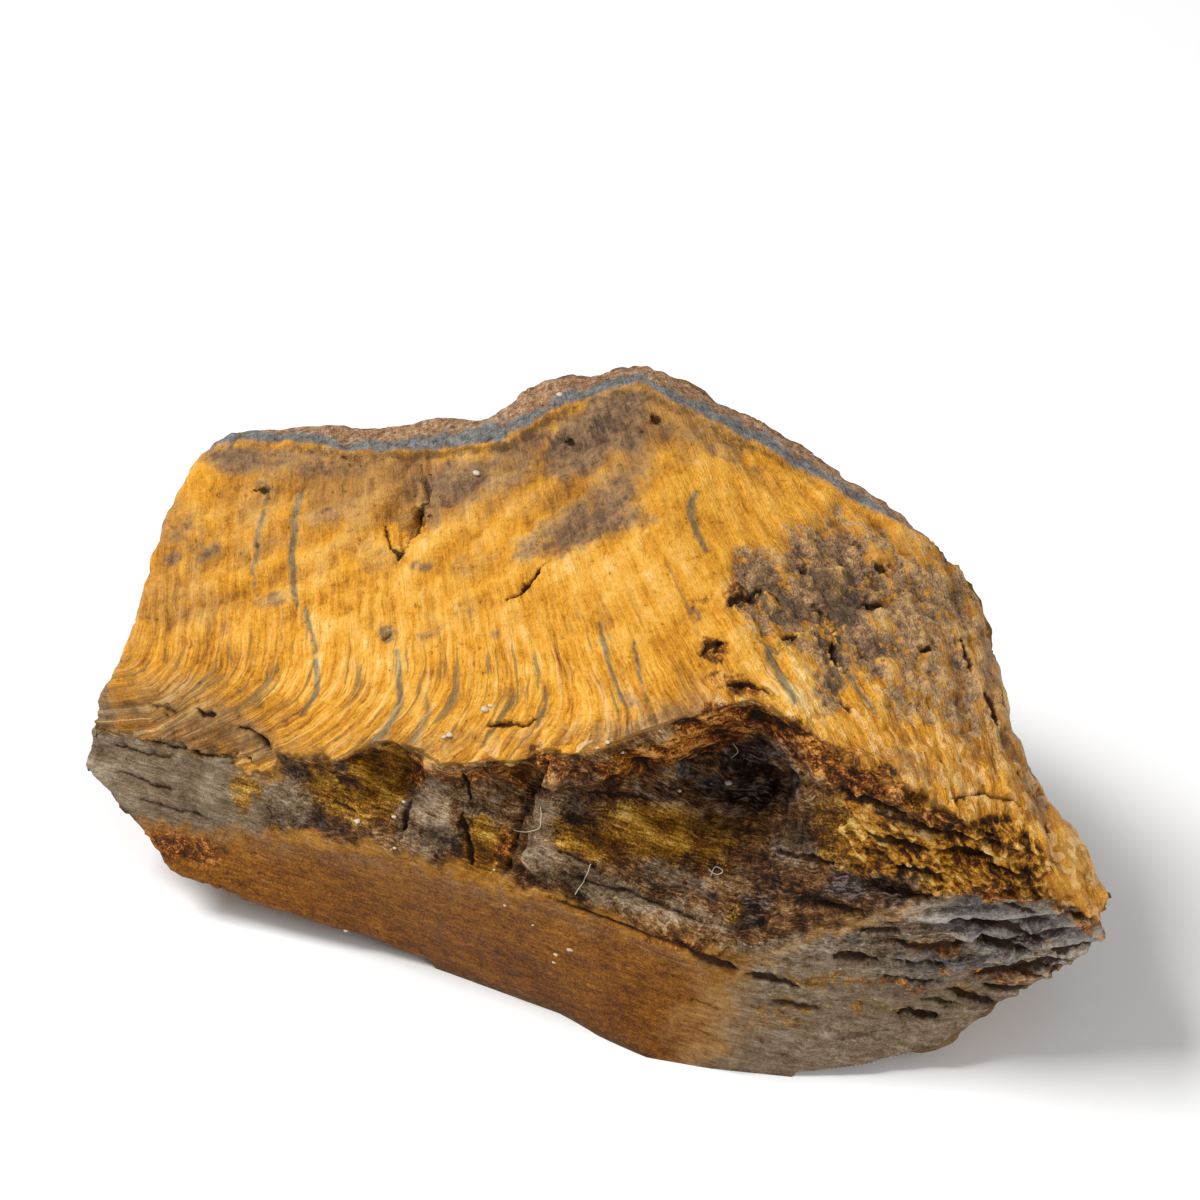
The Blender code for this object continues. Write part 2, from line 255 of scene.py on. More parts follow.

# Open cracks and chips: (points, half width, depth in millimetres, darkness of the painted shade in them).
CRACKS = (
    (((420, 464), (426, 490), (424, 508), (414, 530), (398, 552)), 3.4, 0.3, 0.42),
    (((424, 500), (416, 526), (404, 546)), 1.6, 0.2, 0.7),
    (((386, 526), (390, 540), (396, 552)), 2.0, 0.2, 0.6),
    (((390, 544), (397, 555), (403, 547)), 2.4, 0.25, 1.0),
    (((506, 599), (520, 592), (532, 580), (546, 567)), 2.0, 0.35, 1.0),
    (((484, 725), (500, 722), (520, 724), (538, 717)), 2.0, 0.25, 0.7),
    (((252, 491), (268, 490)), 2.2, 0.2, 0.8),
    (((728, 600), (740, 592), (748, 594), (762, 586)), 3.4, 0.35, 1.0),
    (((864, 601), (874, 605), (884, 600)), 3.8, 0.45, 1.0),
    (((700, 655), (708, 645), (724, 641)), 2.8, 0.3, 0.8), (((712, 640), (716, 652)), 2.4, 0.25, 0.7),
    (((726, 686), (744, 682), (768, 692)), 2.6, 0.3, 0.8), (((780, 640), (798, 634)), 2.6, 0.3, 0.9),
    (((878, 563), (888, 571)), 4.0, 0.4, 1.0), (((834, 640), (837, 664)), 2.8, 0.3, 0.9),
    (((922, 650), (934, 643)), 3.0, 0.35, 0.9), (((842, 700), (854, 711)), 2.2, 0.3, 0.8),
    (((798, 566), (812, 572)), 2.6, 0.3, 0.8), (((816, 606), (826, 612)), 2.6, 0.3, 0.8),
    (((962, 636), (972, 668)), 2.4, 0.3, 0.8), (((986, 690), (994, 706), (998, 724)), 2.6, 0.35, 0.9),
    (((950, 800), (966, 794), (985, 793), (1004, 800), (1022, 808)), 1.9, 0.22, 0.6),
    (((1018, 770), (1030, 800)), 2.2, 0.3, 0.7), (((1048, 822), (1052, 840)), 1.8, 0.2, 0.5),
    (((1074, 846), (1088, 884)), 1.8, 0.15, 0.45), (((1046, 862), (1060, 858)), 1.8, 0.2, 0.5),
    (((197, 708), (203, 714), (216, 716)), 2.2, 0.25, 0.8),
    (((238, 727), (252, 732), (262, 742), (268, 750)), 2.0, 0.3, 0.7),
    (((244, 758), (254, 762)), 2.0, 0.2, 0.7),
    (((150, 741), (178, 748), (206, 755), (236, 758)), 1.6, 0.2, 0.6),
    (((150, 706), (176, 714)), 1.6, 0.2, 0.4), (((650, 418), (662, 422)), 3.0, 0.2, 0.7),
    (((563, 438), (572, 443)), 3.4, 0.25, 0.9), (((598, 530), (604, 560)), 1.6, 0.15, 0.35),
    (((641, 500), (645, 556)), 1.6, 0.12, 0.3), (((668, 562), (690, 600)), 1.6, 0.12, 0.3),
    (((622, 655), (626, 690)), 1.8, 0.12, 0.35), (((380, 640), (392, 634)), 1.8, 0.2, 0.5),
    (((300, 452), (330, 456), (358, 460)), 1.6, 0.1, 0.25),
)  # fmt: skip

# Where the golden face is brighter or browner: (middle, half size, tilt, amount). Partly painted light:
# the bright patches are a painted sheen of the chatoyant band and a painted highlight on the right-hand
# tip, and the narrow patches tilted at -32 are painted shade of the chatter ripples; the rest are tones
# of the stone.
GOLD_LIGHT_AND_TONES = (
    ((450, 620), (200, 60), -8, 0.45), ((520, 670), (110, 44), 0, 0.4), ((620, 590), (70, 60), 40, 0.4),
    ((430, 545), (70, 28), -14, 0.35), ((200, 490), (26, 26), 0, 0.3), ((365, 680), (50, 30), 0, 0.3),
    ((750, 500), (60, 34), 20, 0.3), ((690, 590), (40, 60), -30, 0.3), ((560, 745), (40, 10), -4, 0.4),
    ((480, 755), (28, 8), 0, 0.3), ((790, 720), (60, 40), 40, 0.3), ((1080, 880), (30, 50), -30, 0.5),
    ((360, 480), (130, 40), 0, -0.75), ((190, 590), (70, 80), 0, -0.4), ((620, 460), (60, 50), 0, -0.5),
    ((500, 520), (70, 40), -20, -0.3), ((640, 725), (70, 22), -16, -0.5), ((470, 742), (120, 16), 0, -0.3),
    ((715, 695), (50, 30), -12, -0.6), ((180, 718), (100, 34), 12, -0.8), ((800, 690), (70, 60), 30, 1.1),
    ((720, 470), (60, 40), 20, 0.4), ((1080, 860), (40, 80), -30, 0.6), ((720, 440), (80, 36), 30, -0.45),
    ((930, 560), (60, 24), 30, -0.4), ((1000, 720), (34, 90), -18, -0.5), ((640, 420), (50, 30), 0, -0.5),
    ((880, 750), (100, 24), 30, -0.25), ((440, 600), (60, 14), -32, -0.35),
    ((330, 560), (60, 12), -32, -0.35), ((280, 530), (60, 12), -32, -0.25),
)  # fmt: skip

# Where the gold is deeper: (middle, half size, tilt, amount).
RICH_GOLD = (
    ((1070, 860), (60, 90), -30, 1.0), ((995, 700), (34, 120), -18, 0.6), ((190, 610), (80, 110), 10, 0.4),
    ((560, 655), (140, 60), -6, 0.5), ((175, 560), (60, 60), 0, 0.4), ((170, 715), (90, 34), 12, 0.6),
)  # fmt: skip

# The broken front. Each list is (middle, half size, tilt, strength).
OLIVE_GOLD = (
    ((318, 782), (20, 16), 20, 0.9), ((380, 778), (34, 26), -24, 1.0), ((352, 806), (44, 16), 15, 0.7),
    ((486, 850), (22, 32), 10, 0.95), ((592, 842), (40, 18), 14, 0.8), ((650, 832), (50, 28), 10, 0.85),
    ((700, 850), (34, 14), 20, 0.6), ((620, 765), (24, 12), -10, 0.5), ((520, 770), (22, 16), 0, 0.7),
    ((870, 845), (64, 26), 20, 0.9), ((930, 948), (34, 7), 5, 0.6), ((964, 992), (16, 5), 14, 0.5),
    ((840, 980), (60, 9), 4, 0.4), ((770, 1020), (44, 12), 8, 0.35), ((860, 1008), (50, 7), 0, 0.35),
    ((792, 1006), (26, 5), 10, 0.45), ((700, 826), (44, 20), 10, 0.6), ((734, 914), (16, 16), 28, 0.45),
    ((175, 848), (34, 16), 10, 0.7), ((246, 790), (14, 26), 14, 0.7), ((226, 740), (40, 12), 12, 0.5),
    ((700, 740), (50, 14), -18, 0.5),
)  # fmt: skip
# Painted shade: the hollow under the peak of the lip, the shaded undersides and gaps of the broken front and
# the slots between the ledges.
NEAR_BLACK_SHADE = (
    ((750, 758), (38, 16), -8, 1.0), ((756, 796), (38, 16), 4, 1.0), ((718, 786), (40, 18), -6, 0.6),
    ((776, 768), (30, 30), 40, 0.6), ((668, 790), (40, 9), 4, 0.6), ((706, 762), (36, 8), -20, 0.55),
    ((715, 818), (44, 20), 14, 0.5), ((610, 788), (44, 8), -4, 0.4), ((802, 806), (10, 36), -8, 0.45),
    ((786, 845), (24, 34), 0, 0.45), ((660, 868), (60, 10), 16, 0.4), ((708, 890), (40, 8), 20, 0.45),
    ((754, 908), (15, 32), 32, 0.9), ((742, 870), (16, 20), 20, 0.4), ((814, 902), (40, 9), 8, 0.55),
    ((870, 804), (44, 5), 28, 0.8), ((912, 826), (30, 5), 24, 0.7), ((872, 886), (58, 17), 4, 0.95),
    ((835, 850), (22, 8), 40, 0.35), ((892, 816), (46, 11), 24, 0.5), ((880, 868), (46, 9), 8, 0.35),
    ((850, 903), (64, 13), 8, 0.5), ((1022, 939), (34, 11), -14, 0.7), ((925, 950), (46, 10), -4, 0.45),
    ((985, 925), (36, 7), 8, 0.5), ((1010, 975), (50, 7), -14, 0.45), ((1060, 955), (22, 6), -24, 0.5),
    ((960, 905), (40, 5), 6, 0.45), ((772, 874), (22, 34), 24, 0.5), ((925, 906), (42, 8), 2, 0.45),
    ((101, 738), (9, 26), 8, 0.45), ((1050, 932), (30, 7), -10, 0.6), ((985, 955), (40, 6), -8, 0.6),
    ((1018, 940), (30, 10), 8, 0.9), ((976, 938), (26, 5), 6, 0.7), ((446, 780), (26, 12), 10, 0.35),
    ((500, 790), (24, 14), 10, 0.35), ((420, 852), (14, 10), 10, 0.4), ((330, 826), (30, 4), 14, 0.3),
    ((410, 800), (7, 22), 10, 0.45), ((204, 714), (10, 4), 20, 0.5), ((252, 760), (10, 4), -10, 0.6),
)  # fmt: skip
SLATE_GREY = (
    ((1010, 915), (90, 26), 6, 0.95), ((1080, 930), (30, 16), 10, 0.85), ((960, 960), (90, 24), -8, 0.6),
    ((696, 776), (46, 8), 12, 0.6), ((742, 784), (30, 5), 0, 0.7), ((792, 786), (12, 26), 6, 0.45),
    ((306, 822), (20, 7), 25, 0.5), ((840, 936), (50, 10), 5, 0.35),
)  # fmt: skip
PALE_STREAKS = (
    ((610, 890), (70, 16), 20, 0.7), ((690, 915), (50, 14), 20, 0.55), ((545, 840), (16, 46), 6, 0.6),
    ((575, 862), (30, 14), 30, 0.5), ((250, 800), (12, 30), 14, 0.4), ((290, 800), (26, 32), 30, 0.65),
    ((428, 812), (34, 46), 0, 0.6), ((486, 800), (40, 22), 4, 0.4), ((566, 792), (30, 20), 10, 0.35),
    ((795, 846), (22, 32), 0, 0.5), ((680, 876), (56, 18), 14, 0.45), ((780, 985), (70, 20), 6, 0.6),
    ((870, 975), (70, 16), 0, 0.5), ((856, 892), (40, 6), 6, 0.5), ((856, 824), (34, 12), 20, 0.4),
    ((780, 945), (50, 10), -10, 0.55), ((920, 1030), (70, 18), -14, 0.5), ((840, 1040), (70, 18), -8, 0.5),
)  # fmt: skip
RED_BROWN = (
    ((655, 752), (50, 13), -20, 0.9), ((725, 724), (46, 15), -8, 1.0), ((800, 745), (44, 18), 36, 1.0),
    ((850, 780), (50, 15), 30, 0.9), ((925, 815), (50, 10), 22, 0.8), ((600, 770), (50, 10), -4, 0.6),
    ((540, 765), (20, 14), 0, 0.7), ((480, 775), (80, 9), 2, 0.5), ((414, 768), (14, 20), 60, 0.8),
    ((1000, 893), (54, 7), 5, 0.75), ((1080, 920), (30, 4), 26, 0.6), ((735, 685), (26, 10), 20, 0.8),
    ((180, 846), (40, 16), 12, 0.75), ((714, 648), (14, 11), -20, 0.85), ((735, 585), (14, 6), -15, 0.6),
    ((706, 600), (12, 5), 0, 0.5), ((655, 422), (12, 4), 10, 0.6), ((690, 556), (12, 5), 10, 0.4),
    ((690, 950), (60, 6), 20, 0.7), ((540, 764), (14, 12), 0, 0.7), ((500, 850), (6, 34), 6, 0.6),
    ((930, 948), (46, 7), 4, 0.6), ((1000, 974), (60, 6), 0, 0.6), ((890, 982), (40, 4), 6, 0.5),
    ((715, 742), (36, 14), -20, 0.6), ((870, 770), (60, 16), 32, 0.6),
)  # fmt: skip

# Slots between the thin ledges at the lower right, and dark gaps along the front:
# (points, half width, depth in millimetres, darkness of the painted shade in them).
SLOTS = (
    (((832, 957), (876, 959)), 3.3, 0.38, 0.9), (((893, 944), (930, 951), (966, 942)), 5.0, 0.45, 0.8),
    (((975, 975), (1015, 968), (1060, 964)), 3.9, 0.52, 1.0), (((985, 986), (1034, 990)), 3.2, 0.45, 1.0),
    (((880, 978), (944, 984)), 2.2, 0.30, 0.8), (((896, 1012), (938, 1016)), 3.3, 0.38, 0.9),
    (((772, 1002), (820, 1009)), 3.2, 0.26, 0.6), (((945, 990), (975, 998), (1004, 1006)), 3.6, 0.45, 1.0),
    (((676, 946), (700, 957), (736, 970)), 5.2, 0.4, 1.0),
    (((606, 920), (646, 934), (684, 948)), 3.2, 0.3, 0.8), (((550, 898), (620, 926)), 2.4, 0.26, 0.6),
    (((744, 975), (770, 979), (798, 986)), 3.2, 0.28, 0.7),
    (((950, 918), (1010, 926), (1044, 942)), 3.6, 0.45, 1.0), (((975, 935), (1030, 952)), 5.0, 0.60, 1.0),
    (((1000, 903), (1036, 912)), 2.2, 0.26, 0.9), (((1056, 950), (1094, 938)), 2.3, 0.30, 1.0),
    (((1040, 960), (1064, 956)), 2.4, 0.38, 1.0), (((812, 905), (864, 913)), 3.6, 0.38, 0.9),
    (((876, 888), (934, 898)), 3.2, 0.38, 0.9), (((560, 876), (630, 892), (704, 922)), 2.4, 0.26, 0.6),
    (((776, 850), (834, 864)), 3.2, 0.38, 0.9), (((896, 866), (944, 880)), 2.9, 0.34, 0.9),
    (((948, 850), (994, 860)), 3.2, 0.38, 0.9), (((990, 866), (1044, 888)), 2.9, 0.38, 0.9),
    (((866, 836), (928, 852)), 2.9, 0.38, 0.9), (((900, 822), (950, 836)), 3.2, 0.38, 0.9),
    (((930, 832), (1004, 848)), 2.6, 0.34, 0.8), (((838, 790), (905, 818)), 3.6, 0.38, 0.9),
    (((590, 790), (650, 800)), 2.4, 0.30, 0.8), (((560, 850), (600, 868)), 2.0, 0.26, 0.7),
    (((330, 800), (352, 812)), 2.2, 0.30, 0.7), (((408, 800), (402, 830)), 2.9, 0.38, 0.8),
    (((464, 770), (470, 800)), 2.2, 0.30, 0.8), (((462, 812), (470, 866)), 2.9, 0.38, 0.9),
    (((118, 770), (170, 790)), 1.9, 0.19, 0.5), (((140, 800), (200, 818)), 1.9, 0.19, 0.5),
    (((110, 744), (170, 760)), 1.9, 0.22, 0.5), (((1010, 918), (1050, 922)), 2.6, 0.35, 0.9),
    (((1060, 912), (1092, 920)), 2.0, 0.30, 0.8), (((1004, 968), (1044, 976)), 2.4, 0.35, 0.9),
    (((1050, 976), (1056, 970)), 3.0, 0.35, 0.9), (((860, 930), (900, 934)), 2.4, 0.30, 0.8),
    (((890, 962), (950, 966)), 2.0, 0.28, 0.7), (((920, 1000), (956, 1004)), 2.0, 0.28, 0.7),
    (((690, 1000), (720, 1010)), 1.6, 0.15, 0.4), (((840, 1040), (890, 1030)), 1.8, 0.20, 0.4),
)  # fmt: skip

# Upright step in the front: a carved wall with painted shadow on it, and a pale ridge to its right.
STEP_WALL = (((548, 760), (541, 780), (530, 800), (518, 824), (512, 850), (500, 882)), 3.4)
STEP_RIDGE = (((560, 770), (548, 810), (540, 850), (530, 880)), 9.0)
# The hollow under the peak of the lip: (middle, half size, tilt, depth in millimetres).
HOLLOW = (
    ((742, 764), (66, 26), -14, 0.3), ((700, 786), (60, 18), 4, 0.2), ((754, 905), (16, 34), 32, 0.45),
)  # fmt: skip
# Gouges that the olive-gold scoops lie in.
SCOOPS = (((380, 780), (32, 24), -24, 0.7), ((318, 784), (20, 14), 20, 0.4), ((486, 850), (18, 30), 10, 0.5))

# How far the toe of the ledges stands out towards the sheet, at places across it, and the right-hand tip.
TOE_SWELL = (
    (560, 0.0), (600, 0.6), (650, 0.8), (710, 0.85), (792, 0.5), (850, 0.85), (935, 1.0), (1000, 0.0),
)  # fmt: skip
TIP_SWELL = 0.3

# White dust: (across, down, half size in millimetres), and lint hairs.
DUST_SPECKS = (
    (476, 473, 0.16), (560, 395, 0.15), (485, 709, 0.17), (491, 706, 0.12), (450, 735, 0.16),
    (444, 737, 0.1), (358, 821, 0.13), (404, 802, 0.08), (395, 817, 0.12), (728, 783, 0.16),
    (679, 791, 0.09), (570, 949, 0.13), (556, 954, 0.10), (554, 962, 0.08), (395, 848, 0.08),
    (494, 870, 0.07), (608, 742, 0.1), (622, 752, 0.09), (598, 748, 0.07), (840, 968, 0.07),
    (620, 612, 0.05), (505, 905, 0.07), (533, 925, 0.06), (346, 930, 0.1),
)  # fmt: skip
LINT_HAIRS = (
    ((513, 829), (525, 832), (540, 829), (542, 818), (541, 807)), ((575, 895), (584, 880), (591, 863)),
    ((709, 870), (716, 876), (724, 872), (716, 867), (711, 877)), ((733, 742), (738, 750), (732, 756)),
)  # fmt: skip
HAIR_RADIUS = 0.022
HAIR_LIFT = 0.08
HAIR_STEPS = 28
HAIR_SIDES = 6

# How far the golden fibres lean, right end down, at places across the sheet.
FIBRE_LEAN = (
    (100, -0.10), (300, -0.02), (420, 0.08), (520, 0.18), (600, 0.36), (700, 0.5), (800, 0.66), (900, 0.5),
    (1000, 0.3), (1100, 0.3),
)  # fmt: skip
# Where the fibres bend over, and how sharply they run back to the left below that.
FIBRE_BEND_LINE = (
    (90, 640), (150, 675), (300, 690), (420, 692), (560, 700), (640, 716), (760, 760), (1100, 980),
)  # fmt: skip
FIBRE_BEND = (
    (90, 1.5), (200, 1.5), (260, 1.3), (340, 1.0), (460, 0.85), (560, 0.7), (640, 0.4), (720, 0.0),
    (1100, 0.0),
)  # fmt: skip
BEND_SOFTNESS = 14.0
# Where the hidden seam wall cuts the right end: how near it is, in millimetres, at places beside the middle.
SEAM_WALL_BESIDE = (16.0, 20.5, 24.0)
SEAM_WALL_NEARER = (-2.0, 6.2, 10.0)
# How steeply the streaks of the broken front run down to the right.
STREAK_SLOPE = ((90, 0.32), (300, 0.3), (650, 0.36), (740, 0.2), (860, 0.08), (960, -0.06), (1110, -0.14))
# Width of the blue-grey band of the crust, and how dark the line under it is, at places across the sheet.
RIND_WIDTH = (
    (190, 6), (240, 9), (340, 9), (380, 12), (440, 15), (500, 17), (540, 12), (600, 12), (640, 10),
    (700, 12), (780, 12), (850, 8), (900, 5), (960, 0),
)  # fmt: skip
RIND_SHADOW = ((200, 0.2), (330, 0.7), (400, 1.0), (540, 1.0), (600, 0.5), (700, 0.8), (800, 0.5), (900, 0.2))


def golden_grain(sheet):
    """(across, along) the golden fibres, in millimetres."""
    across, down = sheet[:, 0], sheet[:, 1]
    lean = line_at(FIBRE_LEAN, across)
    below = (down - line_at(FIBRE_BEND_LINE, across)) / BEND_SOFTNESS
    bent = np.logaddexp(0.0, below) * BEND_SOFTNESS * line_at(FIBRE_BEND, across)
    return (across - lean * (down - 600.0) + bent) * SHEET_UNIT, down * SHEET_UNIT


def front_grain(sheet):
    """(across, along) the streaks of the broken front, in millimetres."""
    places = np.arange(0.0, SHEET_SIZE + 1.0)
    fall = np.cumsum(line_at(STREAK_SLOPE, places))
    return (sheet[:, 1] - np.interp(sheet[:, 0], places, fall)) * SHEET_UNIT, sheet[:, 0] * SHEET_UNIT


def read_stone(points, normals):
    """Everything that the markings and the relief need to know about each vertex."""
    sheet = sheet_places(points)
    across, down = sheet[:, 0], sheet[:, 1]
    facing = facing_eye(points, normals)
    broad = np.stack([field(points, 1.2, 21.0), field(points, 1.2, 47.0)], axis=1)
    fine = np.stack([field(points, 0.45, 31.0), field(points, 0.45, 57.0)], axis=1)
    tiny = np.stack([field(points, 0.2, 37.0), field(points, 0.2, 67.0)], axis=1)
    wobble = 9.0 * broad[:, 0] + 6.0 * fine[:, 0]
    above_lip = line_at(LIP, across) - down
    above_brow = line_at(BROW, across) - down
    above_crust = line_at(CRUST, across) - down
    beside = points @ np.array(RIGHT)
    nearer = points @ np.array(TOWARDS * Vector((1.0, 1.0, 0.0))) / math.cos(VIEW_ELEVATION)
    before_wall = nearer - np.interp(beside, SEAM_WALL_BESIDE, SEAM_WALL_NEARER) + 1.5 * broad[:, 0]
    turned = np.interp(across, (1010.0, 1056.0), (0.0, -0.22)) * fade(-0.8, 1.2, before_wall)
    shown = fade(-0.07, 0.05, facing - turned)
    steepest = np.interp(across, (250.0, 330.0, 960.0, 1040.0), (-0.4, 0.2, 0.2, -1.3))
    golden = shown * fade(-1.0, 1.0, (above_lip + wobble) / line_at(LIP_SOFTNESS, across))
    golden = golden * fade(steepest, steepest + 0.3, normals[:, 2])
    rind = fade(-6.0, 5.0, above_crust + 0.35 * wobble) * golden
    below_brow = fade(-10.0, 12.0, -above_brow + 1.3 * wobble) * shown * (1.0 - golden)
    ledgy = fade(688.0, 792.0, across + 0.48 * (down - 960.0) + 3.0 * wobble)
    front = shown * (1.0 - golden) * (1.0 - below_brow)
    lumpy = shown * fade(800.0, 885.0, across + 2.0 * wobble)
    lumpy = lumpy * fade(-6.0, 8.0, line_at(LUMPY_FOOT, across) - down + wobble)
    lumpy = lumpy * (1.0 - fade(1035.0, 1065.0, across + wobble)) * fade(-0.08, 0.05, facing)
    lumpy = lumpy * fade(-4.0, 14.0, down - line_at(LUMPY_HEAD, across) + wobble) * (1.0 - below_brow)
    calm = fade(-16.0, 26.0, down - line_at(SLATE_FOOT, across) + wobble) * fade(930.0, 985.0, down)
    pale_left = front * (1.0 - fade(240.0, 285.0, across + wobble))
    return {
        "points": points, "normals": normals, "sheet": sheet, "facing": facing, "above_lip": above_lip,
        "above_brow": above_brow, "above_crust": above_crust, "hidden": 1.0 - shown, "rind": rind,
        "golden": golden * (1.0 - rind), "seam": below_brow * (1.0 - ledgy), "ledge": below_brow * ledgy,
        "front": front, "pale_left": pale_left, "calm": calm, "lumpy": lumpy, "wobble": wobble,
        "ragged": sheet + 9.0 * broad + 6.0 * fine, "wavy": sheet + 2.0 * broad + 2.5 * fine + 2.0 * tiny,
        "gentle": sheet + 1.5 * broad + 0.7 * fine,
    }  # fmt: skip


def strongest_patch(sheet, entries):
    """The strongest of several tilted patches at each vertex."""
    return strongest([patch(sheet, middle, half, tilt) * amount for middle, half, tilt, amount in entries])


def sum_of_patches(sheet, entries):
    """Several tilted patches added up at each vertex."""
    return sum(patch(sheet, middle, half, tilt, 0.9) * amount for middle, half, tilt, amount in entries)


def carved(sheet, entries):
    """How deep the cracks are, in millimetres, and how dark the shade painted in them is."""
    open_share = [stroke(sheet, points, width, 0.8) for points, width, _, _ in entries]
    depth = strongest([share * entry[2] for share, entry in zip(open_share, entries)])
    return depth, strongest([share * entry[3] for share, entry in zip(open_share, entries)])


# ---------------------------------------------------------------------------------------------------
# Shader expressions
# ---------------------------------------------------------------------------------------------------


class Value:
    """A number in a material. Arithmetic on it adds Math nodes."""

    def __init__(self, shader, socket):
        self.shader, self.socket = shader, socket

    def math(self, operation, first, second=None):
        values = {0: first} if second is None else {0: first, 1: second}
        return self.shader.add("ShaderNodeMath", {"operation": operation}, values)

    def __add__(self, other):
        return self.math("ADD", self, other)

    def __radd__(self, other):
        return self.math("ADD", other, self)

    def __sub__(self, other):
        return self.math("SUBTRACT", self, other)

    def __rsub__(self, other):
        return self.math("SUBTRACT", other, self)

    def __mul__(self, other):
        return self.math("MULTIPLY", self, other)

    def __rmul__(self, other):
        return self.math("MULTIPLY", other, self)

    def at_most(self, other):
        return self.math("MINIMUM", self, other)


class Shader:
    """A material being made. add() makes any node and returns its first output, or the one asked for."""

    def __init__(self, name):
        self.material = bpy.data.materials.new(name)
        self.material.use_nodes = True
        self.tree = self.material.node_tree
        self.surface = self.tree.nodes["Principled BSDF"]

    def add(self, kind, settings=None, values=None, output=0):
        node = self.tree.nodes.new(kind)
        for name, setting in (settings or {}).items():
            if name == "stops":
                self.set_stops(node.color_ramp, setting)
            else:
                setattr(node, name, setting)
        for name, value in (values or {}).items():
            self.feed(node.inputs[name], value)
        return Value(self, node.outputs[output])

    def set_stops(self, ramp, stops):
        while len(ramp.elements) < len(stops):
            ramp.elements.new(1.0)
        for element, (place, shade) in zip(ramp.elements, stops):
            element.position = place
            element.color = (*shade, 1.0)

    def feed(self, socket, value):
        if isinstance(value, Value):
            self.tree.links.new(value.socket, socket)
        elif hasattr(socket.default_value, "__len__") and len(socket.default_value) == 4:
            socket.default_value = (*value, 1.0)
        else:
            socket.default_value = value

    def attribute(self, name, output="Fac"):
        return self.add("ShaderNodeAttribute", {"attribute_name": name}, output=output)

    def noise(self, vector, scale=1.0, detail=3.0, roughness=0.55, distortion=0.0):
        settings = {"noise_dimensions": "3D"}
        values = {
            "Vector": vector, "Scale": scale, "Detail": detail,
            "Roughness": roughness, "Distortion": distortion,
        }  # fmt: skip
        return self.add("ShaderNodeTexNoise", settings, values)

    def chips(self, vector, scale):
        """A different number, 0 to 1, for each cell of a broken pattern."""
        colours = self.add("ShaderNodeTexVoronoi", None, {"Vector": vector, "Scale": scale}, output="Color")
        return self.add("ShaderNodeSeparateColor", None, {"Color": colours})

    def stretch(self, vector, scale):
        return self.add("ShaderNodeVectorMath", {"operation": "MULTIPLY"}, {0: vector, 1: scale})

    def fade(self, value, low, high):
        settings = {"interpolation_type": "SMOOTHSTEP"}
        return self.add("ShaderNodeMapRange", settings, {"Value": value, "From Min": low, "From Max": high})

    def mix(self, factor, first, second, blend="MIX"):
        settings = {"data_type": "RGBA", "blend_type": blend, "clamp_factor": True}
        return self.add("ShaderNodeMix", settings, {0: factor, 6: first, 7: second}, output=2)

    def ramp(self, value, stops):
        return self.add("ShaderNodeValToRGB", {"stops": stops}, {"Fac": value})

    def finish(self, base, roughness, height, depth):
        """Joins colour, roughness and a bump of this depth in metres to the surface."""
        bump = self.add("ShaderNodeBump", None, {"Height": height, "Distance": depth, "Strength": 1.0})
        self.feed(self.surface.inputs["Base Color"], base)
        self.feed(self.surface.inputs["Roughness"], roughness)
        self.feed(self.surface.inputs["Normal"], bump)
        return self.material


# Finishes, as display colours from 0 to 255.
GOLD_SHADES = (
    (0.0, colour(66, 36, 8)), (0.22, colour(138, 84, 20)), (0.42, colour(196, 130, 32)),
    (0.58, colour(226, 158, 46)), (0.76, colour(240, 182, 82)), (0.98, colour(248, 214, 150)),
)  # fmt: skip
BROWN_GOLD_SHADES = (
    (0.0, colour(70, 44, 20)), (0.3, colour(136, 92, 42)), (0.55, colour(186, 134, 66)),
    (0.75, colour(208, 160, 92)), (0.95, colour(232, 194, 132)),
)  # fmt: skip
STAIN_SHADES = (
    (0.0, colour(44, 32, 28)), (0.3, colour(92, 72, 60)), (0.5, colour(132, 106, 82)),
    (0.7, colour(164, 130, 90)), (0.95, colour(206, 164, 108)),
)  # fmt: skip
SLATE_SHADES = (
    (0.0, colour(20, 22, 26)), (0.35, colour(56, 60, 66)), (0.6, colour(90, 94, 98)),
    (0.95, colour(142, 140, 134)),
)  # fmt: skip
FIBRE_SHADES = (
    (0.0, colour(40, 38, 30)), (0.35, colour(84, 80, 64)), (0.6, colour(118, 112, 92)),
    (0.95, colour(160, 152, 124)),
)  # fmt: skip
RIND_SHADES = (
    (0.0, colour(50, 46, 38)), (0.3, colour(88, 90, 88)), (0.6, colour(122, 126, 126)),
    (0.95, colour(170, 170, 164)),
)  # fmt: skip
RUST_SHADES = (
    (0.0, colour(70, 42, 22)), (0.35, colour(134, 96, 66)), (0.65, colour(178, 140, 104)),
    (0.95, colour(214, 184, 150)),
)  # fmt: skip
FRONT_SHADES = (
    (0.0, colour(10, 5, 1)), (0.3, colour(42, 22, 8)), (0.5, colour(88, 55, 24)),
    (0.7, colour(134, 96, 54)), (0.95, colour(194, 166, 126)),
)  # fmt: skip
PALE_SHADES = (
    (0.0, colour(50, 38, 26)), (0.35, colour(104, 84, 60)), (0.6, colour(136, 118, 94)),
    (0.95, colour(186, 170, 146)),
)  # fmt: skip
SEAM_SHADES = (
    (0.0, colour(48, 20, 0)), (0.35, colour(96, 50, 0)), (0.6, colour(140, 84, 10)),
    (0.95, colour(190, 132, 46)),
)  # fmt: skip
LEDGE_SHADES = (
    (0.0, colour(24, 14, 8)), (0.28, colour(73, 54, 37)), (0.5, colour(120, 99, 76)),
    (0.72, colour(156, 138, 119)), (0.98, colour(200, 188, 175)),
)  # fmt: skip
